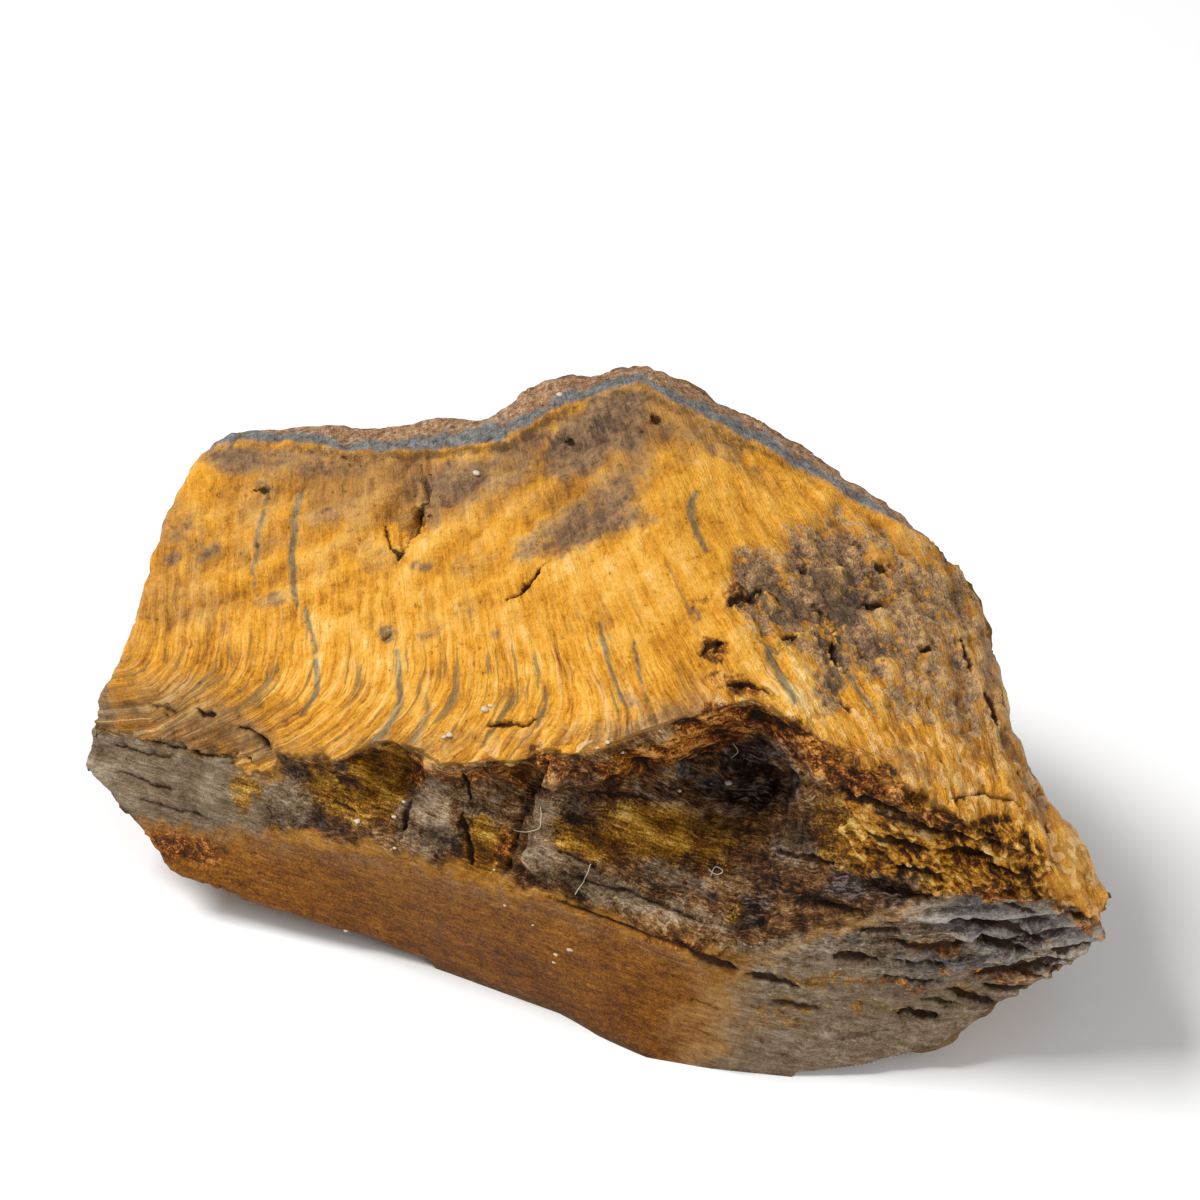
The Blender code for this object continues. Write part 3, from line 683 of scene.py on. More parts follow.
OLIVE_SHADES = (
    (0.0, colour(34, 18, 2)), (0.35, colour(96, 58, 6)), (0.55, colour(146, 98, 16)),
    (0.75, colour(190, 142, 48)), (0.95, colour(226, 188, 104)),
)  # fmt: skip
RED_SHADES = (
    (0.0, colour(20, 8, 2)), (0.32, colour(72, 32, 6)), (0.52, colour(130, 68, 14)),
    (0.72, colour(180, 110, 36)), (0.95, colour(218, 160, 84)),
)  # fmt: skip
# Colours of the painted shade in the hollow and gaps of the front; the lighter stops are painted glints.
SHADE_AND_GLINT_SHADES = (
    (0.0, colour(5, 3, 2)), (0.38, colour(24, 15, 10)), (0.55, colour(52, 39, 31)),
    (0.72, colour(88, 74, 66)), (0.95, colour(128, 116, 110)),
)  # fmt: skip
LUMPY_SHADES = (
    (0.0, colour(14, 5, 0)), (0.28, colour(64, 33, 2)), (0.46, colour(126, 76, 10)),
    (0.62, colour(184, 124, 32)), (0.8, colour(220, 164, 72)), (0.98, colour(240, 202, 130)),
)  # fmt: skip
# Dark brown for the painted shade in cracks and slots, and for the stone's own pores and streak dashes.
UMBER = colour(40, 20, 7)
DUST_COLOUR = colour(196, 186, 166)
STONE_SPECULAR = 0.13
FLOOR_SPECULAR = 0.1
MATT = 0.8
# Depth of the finest grain of the stone, in metres.
GRAIN_DEPTH = 0.0002


def stone_finish():
    """The golden fibrous quartz, its iron stains, blue-grey rind and broken front."""
    shader = Shader("tigers_eye_quartz")
    place = shader.add("ShaderNodeTexCoord", output="Object")
    metres = shader.add("ShaderNodeVectorMath", {"operation": "SCALE"}, {0: place, "Scale": 1.0 / MM})
    grain = shader.attribute("grain", "Vector")
    woolly = shader.attribute("woolly", "Vector")

    fibre_fine = shader.noise(shader.stretch(grain, (9.0, 0.9, 1.0)), detail=3.0, roughness=0.75)
    fibre = shader.noise(shader.stretch(grain, (3.2, 0.3, 1.0)), detail=2.0, roughness=0.7)
    wool = shader.noise(shader.stretch(woolly, (7.5, 1.7, 1.0)), detail=3.0, roughness=0.8)
    mottle = shader.attribute("mottle") * 0.35 + 0.5
    show = shader.attribute("fibre_show").at_most(1.0)
    speck = shader.noise(metres, scale=2.4, detail=3.0, roughness=0.75)
    clumps = shader.noise(metres, scale=1.15, detail=4.0, roughness=0.75)
    grit = shader.noise(metres, scale=9.0, detail=2.0, roughness=0.8)
    # The fine relief is added into many of the colour values below as painted shade: darker in hollows and
    # gaps, lighter on raised parts.
    relief = shader.attribute("relief")
    chip = shader.chips(shader.stretch(woolly, (3.4, 1.7, 1.0)), 1.0) - 0.5

    tear = (clumps - 0.5) * 1.3 + (grit - 0.5) * 0.8 + chip * 0.12

    def ragged_mask(name, low=0.16, high=0.48, amount=1.0):
        """A marking whose edge is torn by a noise."""
        softness = shader.attribute(name)
        return shader.fade(softness * 0.7 + tear * amount, low, high) * shader.fade(softness, 0.02, 0.25)

    # Painted sheen, highlight and shade of the golden face, with tones of the stone; on the smooth lower face
    # it makes the colour darker towards the bottom.
    tone = shader.attribute("tone")
    fibres = (fibre - 0.5) * 0.85 + (fibre_fine - 0.5) * 0.75
    gold_value = 0.57 + fibres * show + (mottle - 0.5) * 0.5 + (grit - 0.5) * 0.3 + (speck - 0.5) * 0.4
    gold_value = gold_value + tone * 0.12 + relief * 0.24 + chip * 0.05 - shader.attribute("rich") * 0.13
    gold = shader.ramp(gold_value, GOLD_SHADES)
    brown = shader.ramp(gold_value + 0.02, BROWN_GOLD_SHADES)
    stain_here = shader.attribute("stain")
    browning = 0.34 - tone * 0.8 + (mottle - 0.5) * 1.3 + (clumps - 0.5) * 1.2 + stain_here * 0.5
    skin = shader.mix(shader.fade(browning, 0.3, 1.0), gold, brown)

    streak = 0.5 + (fibre - 0.5) * 0.7 + (fibre_fine - 0.5) * 1.1 + (grit - 0.5) * 0.7 + relief * 0.25
    tangle = 0.5 + (wool - 0.5) * 1.3 + (speck - 0.5) * 0.9 + (grit - 0.5) * 0.5 + relief * 0.3
    mottled = 0.5 + (speck - 0.5) * 1.5 + (grit - 0.5) * 1.2 + chip * 0.2 + relief * 0.15

    flakes = shader.attribute("lip_flakes")
    pale_flakes = shader.fade(chip + (grit - 0.5) * 0.8, 0.22, 0.34) * flakes
    skin = shader.mix(pale_flakes * 0.6, skin, colour(246, 218, 172))
    # Painted small shadows among the flakes at the lip and on the right-hand facet.
    flake_shadows = shader.fade(0.0 - chip + (speck - 0.5) * 1.2, 0.1, 0.3) * flakes
    skin = shader.mix(flake_shadows * 0.7, skin, colour(128, 74, 30))
    stained = 0.56 - stain_here * 0.13 + (speck - 0.5) * 0.8 + (grit - 0.5) * 0.35
    stained = stained - (clumps - 0.5) * 0.7 + fibres * 0.25 + relief * 0.2
    stain = ragged_mask("stain", 0.04, 0.7, 0.8)
    skin = shader.mix(stain * 0.85, skin, shader.ramp(stained, STAIN_SHADES))
    speckled = shader.attribute("speckled")
    skin = shader.mix(shader.fade(speckled, 0.0, 0.7) * 0.55, skin, brown)
    dull = shader.fade(speckled * 0.5 + (clumps - 0.5) * 1.4 + (speck - 0.5) * 0.9 + chip * 0.7, 0.14, 0.26)
    dull = dull * shader.fade(speckled, 0.05, 0.3)
    dull_value = mottled + relief * 0.25 + chip * 0.15 + 0.19
    skin = shader.mix(dull * 0.9, skin, shader.ramp(dull_value, STAIN_SHADES))
    deep = shader.attribute("speckled_dark") + (clumps - 0.5) * 1.2 + (speck - 0.5) * 1.4 + chip * 0.7
    skin = shader.mix(shader.fade(deep, 0.55, 1.0) * 0.68, skin, colour(54, 44, 40))
    slate_line = shader.attribute("slate_fibre") + (fibre_fine - 0.5) * 1.0 + (grit - 0.5) * 0.4
    skin = shader.mix(shader.fade(slate_line, 0.12, 0.75) * 0.85, skin, shader.ramp(streak, FIBRE_SHADES))
    faint_noise = shader.noise(shader.stretch(grain, (3.4, 0.22, 3.0)), detail=2.0)
    faint = shader.fade(faint_noise, 0.56, 0.66) * shader.attribute("faint_fibres")
    skin = shader.mix(faint * 0.6, skin, colour(122, 104, 70))
    cream = shader.fade(1.0 - faint_noise, 0.58, 0.68) * shader.attribute("faint_fibres")
    skin = shader.mix(cream * 0.25, skin, colour(246, 214, 150))

    back_value = mottled * 0.8 + streak * 0.5 + (mottle - 0.5) * 0.25 - 0.22
    back = shader.ramp(back_value, RUST_SHADES)
    bluish = shader.fade(mottle + (fibre - 0.5) * 0.8 + (clumps - 0.5) * 0.5, 0.52, 0.68)
    back = shader.mix(bluish * 0.65, back, shader.ramp(streak - 0.06, SLATE_SHADES))
    golden_bands = shader.fade(clumps * 0.7 + fibre * 0.5, 0.6, 0.74)
    back = shader.mix(golden_bands * 0.7, back, brown)
    skin = shader.mix(shader.attribute("hidden"), skin, back)

    front = shader.ramp(tangle + (mottle - 0.5) * 0.4, FRONT_SHADES)
    skin = shader.mix(shader.attribute("front"), skin, front)
    seam_value = streak * 0.6 + mottled * 0.4 + (mottle - 0.5) * 0.3 + tone * 0.28
    seam = shader.ramp(seam_value, SEAM_SHADES)
    seam = shader.mix(shader.fade(wool, 0.56, 0.65) * (0.45 + tone * 0.7), seam, UMBER)
    skin = shader.mix(shader.attribute("seam"), skin, seam)
    ledge_value = streak - 0.5 + (speck - 0.5) * 0.9 + (wool - 0.5) * 1.2 + relief * 0.2
    ledge = shader.ramp((ledge_value - 0.09) * (1.0 - shader.attribute("calm") * 0.55) + 0.55, LEDGE_SHADES)
    skin = shader.mix(shader.attribute("ledge"), skin, ledge)
    pale = shader.ramp(streak * 0.6 + tangle * 0.4, PALE_SHADES)
    skin = shader.mix(ragged_mask("pale_left", 0.04, 0.62, 0.5), skin, pale)
    greyed = shader.ramp(tangle + relief * 0.15, SLATE_SHADES)
    skin = shader.mix(ragged_mask("slate_grey") * 0.7, skin, greyed)
    skin = shader.mix(ragged_mask("pale_streaks") * 0.7, skin, shader.ramp(tangle + 0.06, PALE_SHADES))
    olive_value = streak * 1.0 + tangle * 0.6 - 0.3
    skin = shader.mix(ragged_mask("olive") * 0.95, skin, shader.ramp(olive_value, OLIVE_SHADES))
    # Painted shade between the knobs and painted highlight on them, from the relief.
    lump_value = 0.63 + relief * 0.6 + (speck - 0.5) * 1.2 + (grit - 0.5) * 0.5
    lump_value = lump_value + (wool - 0.5) * 0.8 + chip * 0.35
    lumps = shader.ramp(lump_value, LUMPY_SHADES)
    skin = shader.mix(ragged_mask("lumpy", 0.2, 0.5, 0.6), skin, lumps)
    red_value = mottled * 0.8 + tangle * 0.9 + relief * 0.2 + chip * 0.2 - 0.41
    skin = shader.mix(ragged_mask("red_brown") * 0.9, skin, shader.ramp(red_value, RED_SHADES))
    # Painted shade over the hollow, the gaps and the wall of the step, with painted glints in it.
    black_value = tangle - 0.02 + (wool - 0.5) * 1.3 + relief * 0.25
    black = shader.ramp(black_value, SHADE_AND_GLINT_SHADES)
    skin = shader.mix(ragged_mask("near_black", 0.14, 0.66) * 0.93, skin, black)

    rust = shader.ramp(mottled + (fibre - 0.5) * 0.4, RUST_SHADES)
    slate = shader.ramp(streak * 0.4 + mottled * 0.6 + (clumps - 0.5) * 1.0 - 0.04, RIND_SHADES)
    band = shader.attribute("rind_slate") + (clumps - 0.5) * 2.2 + (grit - 0.5) * 0.8
    band = shader.fade(band, 0.2, 0.8) * 0.9
    rind = shader.fade(shader.attribute("rind") + (clumps - 0.5) * 0.6 + (grit - 0.5) * 0.3, 0.06, 0.94)
    skin = shader.mix(rind, skin, shader.mix(band, rust, slate))
    skin = shader.mix(ragged_mask("rind_shadow", 0.14, 0.7, 1.1) * 0.75, skin, colour(88, 60, 28))
    # Painted shade in the open cracks and in the slots between the ledges.
    crack = shader.attribute("crack") + (grit - 0.5) * 0.5
    skin = shader.mix(shader.fade(crack, 0.15, 0.7) * 0.93, skin, UMBER)
    pores = shader.fade(speck, 0.27, 0.36)
    skin = shader.mix((1.0 - pores) * 0.6, skin, UMBER)

    dullness = (
        shader.attribute("front") + shader.attribute("hidden") + shader.attribute("ledge")
        + shader.attribute("stain") * 0.6 + shader.attribute("rind")
    )  # fmt: skip
    roughness = (0.45 + (speck - 0.5) * 0.25 + (fibre_fine - 0.5) * 0.2 + dullness * 0.14).at_most(0.85)
    height = fibre_fine * 0.7 + speck * 1.3
    shader.surface.inputs["Specular IOR Level"].default_value = STONE_SPECULAR
    return shader.finish(skin, roughness, height, GRAIN_DEPTH)


# ---------------------------------------------------------------------------------------------------
# The stone
# ---------------------------------------------------------------------------------------------------


# Vertices this low, in millimetres, belong to the resting face and stay where they are.
RESTING_HEIGHT = 0.02
MERGE_DISTANCE = 0.001
SPLIT_PASSES = 6
# Places that face the eye less than this count as hidden when the mesh is made finer.
LEAST_FACING = -0.1
# How far beyond a crack or a slot the finer mesh runs, in sheet units.
CRACK_MARGIN = 5.0
SLOT_MARGIN = 4.0
# Heights and depths of the relief, in millimetres.
LEDGE_PITCH = 0.66
STEP_RIDGE_HEIGHT = 0.45
STEP_WALL_DEPTH = 0.5
FINE_RELIEF = 0.3
# Share of the steps at the back that is painted into the colours as shade: darker in the creases,
# lighter on the ridges.
BACK_SHADE_SHARE = 0.35


def arrays_of(mesh):
    """Vertex places in millimetres and their normals."""
    mesh.normal_update()
    points = np.array([vertex.co[:] for vertex in mesh.verts])
    normals = np.array([vertex.normal[:] for vertex in mesh.verts])
    return points, normals


def edge_limit(points, normals, sizes):
    """How long an edge may be at each of these places, in millimetres."""
    sheet = sheet_places(points)
    facing = facing_eye(points, normals)
    above_lip = line_at(LIP, sheet[:, 0]) - sheet[:, 1]
    above_brow = line_at(BROW, sheet[:, 0]) - sheet[:, 1]
    limit = np.full(len(points), sizes.hidden_edge)
    seen = facing > LEAST_FACING
    limit[seen] = sizes.golden_edge
    limit[seen & (above_lip < 12.0)] = sizes.broken_edge
    limit[seen & (above_brow < -10.0) & (sheet[:, 0] < 720.0)] = sizes.smooth_edge
    at_crack = [near_stroke(sheet, entry[0])[0] < entry[1] + CRACK_MARGIN for entry in CRACKS]
    limit[seen & np.any(at_crack, axis=0)] = sizes.crack_edge
    at_slot = [near_stroke(sheet, entry[0])[0] < entry[1] + SLOT_MARGIN for entry in SLOTS]
    limit[seen & (above_lip < 5.0) & np.any(at_slot, axis=0)] = sizes.slot_edge
    limit[points[:, 2] < RESTING_HEIGHT] = sizes.base_edge
    return limit


def refine(mesh, sizes):
    """Splits edges until none is longer than its part of the stone allows."""
    for _ in range(SPLIT_PASSES):
        points, normals = arrays_of(mesh)
        ends = np.array([(edge.verts[0].index, edge.verts[1].index) for edge in mesh.edges])
        middles = points[ends].mean(axis=1)
        length = np.linalg.norm(points[ends[:, 0]] - points[ends[:, 1]], axis=1)
        too_long = length > edge_limit(middles, normals[ends].mean(axis=1), sizes)
        if not too_long.any():
            break
        mesh.edges.ensure_lookup_table()
        chosen = [mesh.edges[index] for index in np.nonzero(too_long)[0]]
        bmesh.ops.subdivide_edges(mesh, edges=chosen, cuts=1)
        bmesh.ops.triangulate(mesh, faces=mesh.faces)
        mesh.verts.index_update()


def golden_relief(stone, grain):
    """Fibre grooves, chatter marks and pits of the golden face."""
    points, sheet = stone["points"], stone["sheet"]
    fibres = 0.06 * field(grain, (0.36, 2.2, 1.0)) + 0.07 * field(grain, (0.9, 5.0, 1.0), 3.0)
    across, down = sheet[:, 0], sheet[:, 1]
    slant = np.stack([across + 1.7 * down, 1.7 * across - down, 0 * across], axis=1) * 0.5
    chatter_here = 0.35 + patch(sheet, (400, 545), (240, 110), -5, 0.5)
    chatter = 0.22 * field(slant * SHEET_UNIT, (0.9, 3.4, 1.0)) * chatter_here
    lumps = 0.14 * field(points, 1.5, 5.0) + 0.06 * field(points, 0.6, 15.0)
    rough = np.maximum(fade(640.0, 760.0, across), 0.8 * (1.0 - fade(10.0, 50.0, stone["above_lip"])))
    splinters = 0.16 * field(grain, (0.4, 1.2, 1.0), 9.0) + 0.18 * field(grain, (0.8, 2.2, 1.0), 12.0)
    pits = fade(0.2, 0.45, field(points, 0.5, 8.0)) * 0.10
    return fibres + chatter + lumps + rough * splinters - pits


def plates(points, size, seed):
    """Broken plates: 0 to 1 up from the gap between one plate and the next."""
    places = points / np.asarray(size, float) + seed
    nearest = np.array([noise.voronoi(place)[0][:2] for place in places.tolist()])
    return fade(0.0, 0.5, nearest[:, 1] - nearest[:, 0])


def speckled_relief(stone):
    """Little broken plates and pits in the dull patch."""
    lumps = field(stone["points"], 0.7, 11.0)
    small = field(stone["points"], 0.4, 12.0)
    flakes = 0.22 * plates(stone["points"], (0.55, 0.55, 0.4), 2.0) - 0.2
    return flakes + 0.12 * lumps + 0.14 * small - 0.18 * fade(0.15, 0.5, small)


def front_relief(stone, grain):
    """Splinters and chips of the broken front."""
    points = stone["points"]
    splinters = 0.12 * field(grain, (0.5, 1.7, 1.0), 1.0) + 0.22 * field(grain, (1.1, 3.4, 1.0), 6.0)
    chips = 0.18 * field(points, 1.4, 3.0) + 0.12 * field(points, 0.6, 7.0)
    return splinters + chips


def lumpy_relief(stone, grain):
    """Knobbly broken fibre bundles with gaps between them."""
    points = stone["points"]
    bent = grain + np.stack([field(points, 0.9, 61.0), field(points, 0.9, 71.0), 0 * grain[:, 0]], 1) * 0.45
    knobs = plates(bent, (0.42, 1.0, 1.0), 4.0)
    return 0.2 * knobs - 0.12 + 0.2 * field(bent, (0.8, 2.2, 1.0), 2.0) + 0.1 * field(points, 0.45, 3.0)


def ledge_relief(stone, grain):
    """Thin ledges, each set back under the one above."""
    across = grain[:, 0] + 0.5 * field(stone["points"], (4.0, 4.0, 2.0), 3.0)
    drop = (across / LEDGE_PITCH) % 1.0
    slate = fade(-10.0, 10.0, line_at(SLATE_FOOT, stone["sheet"][:, 0]) - stone["sheet"][:, 1]) + 0.4
    teeth = 0.2 * (fade(0.0, 0.75, drop) - fade(0.78, 1.0, drop)) * slate
    fine = 0.12 * field(grain, (0.32, 1.4, 1.0), 2.0) + 0.18 * field(grain, (0.7, 2.2, 1.0), 5.0)
    return (teeth + fine + 0.12 * field(stone["points"], 1.1, 4.0)) * (1.0 - 0.55 * stone["calm"])


def back_relief(points):
    """Fracture steps and creases of the seam wall at the back."""
    bent = points + 0.9 * np.stack([field(points, 2.6, seed) for seed in (91.0, 95.0, 99.0)], axis=1)
    swollen = 3.2 * field(bent, (7.0, 7.0, 3.6), 14.0)
    steps = np.floor(swollen) + fade(0.55, 1.0, swollen % 1.0)
    creases = np.abs(field(bent, (2.2, 2.2, 4.4), 17.0)).clip(0.0, 0.35)
    return 0.26 * steps + 0.55 * creases - 0.25


def stone_relief(stone, grain, speckled):
    """How far the skin stands out at each vertex in millimetres, and the fine share of that, -1 to 1, which
    the finish paints as shade.
    """
    sheet, points = stone["sheet"], stone["points"]
    seen = 1.0 - stone["hidden"]
    near_lip = (1.0 - fade(4.0, 26.0, np.abs(stone["above_lip"]))) * seen
    plain_front = stone["front"] * (1.0 - stone["lumpy"])
    fine = stone["golden"] * (1.0 - stone["lumpy"]) * golden_relief(stone, grain)
    fine += stone["golden"] * speckled * speckled_relief(stone)
    fine += plain_front * front_relief(stone, grain) + stone["lumpy"] * lumpy_relief(stone, grain)
    fine += stone["ledge"] * ledge_relief(stone, grain)
    fine += stone["seam"] * (0.05 * field(points, 1.2) + 0.04 * field(grain, (0.5, 1.6, 1.0)))
    crusty = stone["rind"] + stone["hidden"]
    fine += crusty * (0.14 * field(points, 1.1, 1.0) + 0.10 * field(points, 0.5, 2.0))
    fine += near_lip * (0.20 * field(grain, (0.5, 1.4, 1.0), 4.0) + 0.16 * field(points, 0.6, 5.0))
    height = fine + stone["golden"] * 0.25 * field(points, 4.0, 2.0)
    height += stone["seam"] * 0.12 * field(points, 3.0)
    wall = stone["hidden"] * back_relief(points)
    height += wall
    fine += BACK_SHADE_SHARE * wall
    height += STEP_RIDGE_HEIGHT * stone["front"] * stroke(stone["ragged"], *STEP_RIDGE, 0.9)
    height -= STEP_WALL_DEPTH * stone["front"] * stroke(stone["wavy"], *STEP_WALL, 0.9)
    height -= stone["front"] * sum_of_patches(stone["ragged"], HOLLOW + SCOOPS)
    turned_to = seen * fade(-0.12, 0.02, stone["facing"])
    height -= turned_to * carved(stone["wavy"], CRACKS)[0]
    off_gold = (stone["front"] + stone["ledge"] + stone["seam"]).clip(0, 1)
    height -= turned_to * off_gold * carved(stone["wavy"], SLOTS)[0]
    return height * fade(0.0, 0.7, points[:, 2]), (fine / FINE_RELIEF).clip(-1.0, 1.0)


def stone_markings(stone, speckled, fine):
    """Every marking that the finish reads, by attribute name."""
    sheet, ragged, seen = stone["sheet"], stone["ragged"], 1.0 - stone["hidden"]
    on_gold = stone["golden"]
    broken = (stone["front"] + stone["ledge"]).clip(0, 1)
    broken_or_seam = stone["front"] + stone["seam"] + stone["ledge"]
    off_gold = (broken + stone["seam"]).clip(0, 1)
    above_crust = stone["above_crust"] + 0.6 * stone["wobble"]
    slate_width = np.maximum(line_at(RIND_WIDTH, sheet[:, 0]), 0.5)
    under_crust = 1.0 - fade(2.0, 13.0, np.abs(above_crust + 3.0))
    lip_rough = line_at(LIP_ROUGHNESS, sheet[:, 0])
    fibres = [
        stroke(stone["gentle"], points, 1.15 * width, 0.9) * strength
        for points, width, strength in SLATE_FIBRES
    ]
    faint = fade(580.0, 680.0, sheet[:, 1]) * (1.0 - fade(600.0, 700.0, sheet[:, 0])) + 0.25
    return {
        # The fine relief, which the finish paints as shade.
        "relief": fine,
        "mottle": 0.6 * field(stone["points"], 2.2, 5.0) + 0.4 * field(stone["points"], 1.0, 13.0),
        "fibre_show": np.interp(sheet[:, 1], (540, 680), (0.45, 1.0)) + broken_or_seam,
        # Painted sheen, highlight and chatter shade of the gold with its tones; darker towards the bottom on
        # the smooth lower face.
        "tone": sum_of_patches(ragged, GOLD_LIGHT_AND_TONES) * on_gold
        + stone["seam"] * np.interp(stone["above_brow"], (-170, -60, 0), (-0.7, 0.0, 0.4)),
        "rich": strongest_patch(ragged, RICH_GOLD) * on_gold,
        "stain": strongest_patch(ragged, STAINS) * on_gold,
        "speckled": speckled * on_gold,
        "speckled_dark": strongest_patch(ragged, SPECKLED_DARKEST) * on_gold,
        "slate_fibre": on_gold * strongest(fibres),
        "faint_fibres": on_gold * faint,
        # Pale flakes of the stone, and darker ones that are painted small shadows.
        "lip_flakes": on_gold
        * np.maximum(
            (1.0 - fade(8.0, 34.0, stone["above_lip"] + stone["wobble"])) * lip_rough,
            0.5 * fade(720.0, 800.0, sheet[:, 0]) * fade(600.0, 660.0, sheet[:, 1]),
        ),
        "rind": stone["rind"],
        "rind_slate": stone["rind"] * (1.0 - fade(0.5, 1.5, above_crust / slate_width)),
        "rind_shadow": on_gold * under_crust * line_at(RIND_SHADOW, sheet[:, 0]),
        "front": stone["front"],
        "pale_left": stone["pale_left"]
        + 0.3 * stone["seam"] * fade(-46.0, -6.0, stone["above_brow"] + stone["wobble"]),
        "lumpy": stone["lumpy"],
        "seam": stone["seam"],
        "ledge": stone["ledge"],
        "hidden": stone["hidden"],
        "calm": stone["calm"],
        "olive": strongest_patch(ragged, OLIVE_GOLD) * broken,
        # Painted shade of the hollow, the gaps and the wall of the step.
        "near_black": broken
        * strongest([strongest_patch(ragged, NEAR_BLACK_SHADE), stroke(stone["wavy"], *STEP_WALL) * 0.6]),
        "slate_grey": strongest_patch(ragged, SLATE_GREY) * broken,
        "pale_streaks": strongest_patch(ragged, PALE_STREAKS) * broken,
        "red_brown": strongest_patch(ragged, RED_BROWN) * seen,
        # How dark the painted shade in the cracks and slots is.
        "crack": strongest([carved(stone["wavy"], CRACKS)[1], carved(stone["wavy"], SLOTS)[1] * off_gold])
        * seen * fade(-0.12, 0.02, stone["facing"]),
    }


def swell(points):
    """Shifts, in millimetres, that fill out the toe of the ledges and the right-hand tip."""
    sheet = sheet_places(points)
    across, down = sheet[:, 0], sheet[:, 1]
    toe = line_at(TOE_SWELL, across) * fade(975.0, 1035.0, down) * (1.0 - fade(0.0, 5.0, points[:, 2]))
    tip = TIP_SWELL * fade(980.0, 1060.0, across) * fade(790.0, 850.0, down)
    tip = tip * (1.0 - fade(925.0, 960.0, down))
    level = np.array((TOWARDS.x, TOWARDS.y, 0.0)) / math.hypot(TOWARDS.x, TOWARDS.y)
    return toe[:, None] * level + tip[:, None] * np.array(RIGHT)


def dress_stone(sizes):
    """The finished stone, as a mesh in metres with its markings as attributes."""
    mesh = bmesh.new()
    mesh.from_mesh(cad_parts[STONE_NODE].data)
    bmesh.ops.scale(mesh, vec=(1.0 / MM,) * 3, verts=mesh.verts)
    bmesh.ops.remove_doubles(mesh, verts=mesh.verts, dist=MERGE_DISTANCE)
    refine(mesh, sizes)
    loose = [vertex for vertex in mesh.verts if vertex.co.z > RESTING_HEIGHT]
    every_way = {"use_axis_x": True, "use_axis_y": True, "use_axis_z": True}
    for _ in range(sizes.rounding_passes):
        bmesh.ops.smooth_vert(mesh, verts=loose, factor=0.5, **every_way)

    for vertex, shift in zip(mesh.verts, swell(arrays_of(mesh)[0])):
        vertex.co += Vector(shift)
    points, normals = arrays_of(mesh)
    stone = read_stone(points, normals)
    golden_share = (stone["golden"] + stone["rind"]).clip(0, 1)[:, None]
    golden = np.stack([*golden_grain(stone["sheet"]), 0 * points[:, 0]], axis=1)
    broken = np.stack([*front_grain(stone["sheet"]), 0 * points[:, 0]], axis=1)
    hidden = np.stack([points[:, 0] + 0.3 * points[:, 2], points[:, 2], points[:, 1]], axis=1)
    below_lip = np.stack([-stone["above_lip"], stone["sheet"][:, 0], 0 * points[:, 0]], axis=1) * SHEET_UNIT
    broken = np.where(stone["lumpy"][:, None] > 0.5, below_lip, broken)
    grain = np.where(golden_share > 0.5, golden, broken)
    grain = np.where(stone["hidden"][:, None] > 0.5, hidden, grain)
    sways = [field(points, 1.1, seed) + 0.5 * field(points, 0.5, seed) for seed in (61.0, 71.0, 83.0)]
    sway = np.stack(sways, axis=1)
    speckled = strongest_patch(stone["ragged"], SPECKLED)

    height, fine = stone_relief(stone, grain, speckled)
    for vertex, shift in zip(mesh.verts, normals * height[:, None]):
        vertex.co += Vector(shift)
    bmesh.ops.scale(mesh, vec=(MM, MM, MM), verts=mesh.verts)
    for face in mesh.faces:
        face.smooth = True
    data = bpy.data.meshes.new("golden_stone")
    mesh.to_mesh(data)
    mesh.free()
    for name, values in stone_markings(stone, speckled, fine).items():
        data.attributes.new(name, "FLOAT", "POINT").data.foreach_set("value", values.astype(np.float32))
    for name, vectors in (("grain", grain + 0.09 * sway), ("woolly", grain + 0.26 * sway)):
        flat = vectors.astype(np.float32).ravel()
        data.attributes.new(name, "FLOAT_VECTOR", "POINT").data.foreach_set("vector", flat)
    return data


def add_object(name, data):
    made = bpy.data.objects.new(name, data)
    bpy.context.scene.collection.objects.link(made)
    return made


def find_skin(stone):
    """The stone's skin as something that rays can be cast at, in metres."""
    mesh = bmesh.new()
    mesh.from_mesh(stone.data)
    tree = BVHTree.FromBMesh(mesh)
    mesh.free()
    return tree


def on_skin(tree, across, down, lift=0.0):
    """The place on the stone, in metres, that lies under a place on the sheet."""
    place, normal, _, _ = tree.ray_cast(EYE * MM, sheet_ray(across, down))
    if place is None:
        raise RuntimeError(f"no stone at {across}, {down} on the sheet")
    return place + normal * lift * MM


def add_speck(mesh, place, size, seed):
    """A crumb of white dust of this half size in millimetres."""
    made = bmesh.ops.create_icosphere(mesh, subdivisions=2, radius=size * MM)
    for vertex in made["verts"]:
        uneven = 1.0 + 0.5 * noise.noise(vertex.co / (size * MM) * 0.9 + Vector((seed, 0.0, 0.0)))
        vertex.co = Vector((vertex.co.x * 1.25, vertex.co.y, vertex.co.z * 0.6)) * uneven + place


def add_hair(mesh, places, radius):
    """A thin round hair through these places, in metres."""
    rings = []
    for index, place in enumerate(places):
        ahead = places[min(index + 1, len(places) - 1)] - places[max(index - 1, 0)]
        side = ahead.cross(Vector((0.0, 0.0, 1.0))).normalized()
        up = side.cross(ahead).normalized()
        ring = [
            mesh.verts.new(place + (side * math.cos(turn) + up * math.sin(turn)) * radius * MM)
            for turn in np.linspace(0.0, 2.0 * math.pi, HAIR_SIDES, endpoint=False)
        ]
        rings.append(ring)
    for ring, beyond in zip(rings, rings[1:]):
        for index in range(HAIR_SIDES):
            after = (index + 1) % HAIR_SIDES
            mesh.faces.new((ring[index], ring[after], beyond[after], beyond[index]))
    mesh.faces.new(rings[0])
    mesh.faces.new(rings[-1])
    bmesh.ops.recalc_face_normals(mesh, faces=mesh.faces)


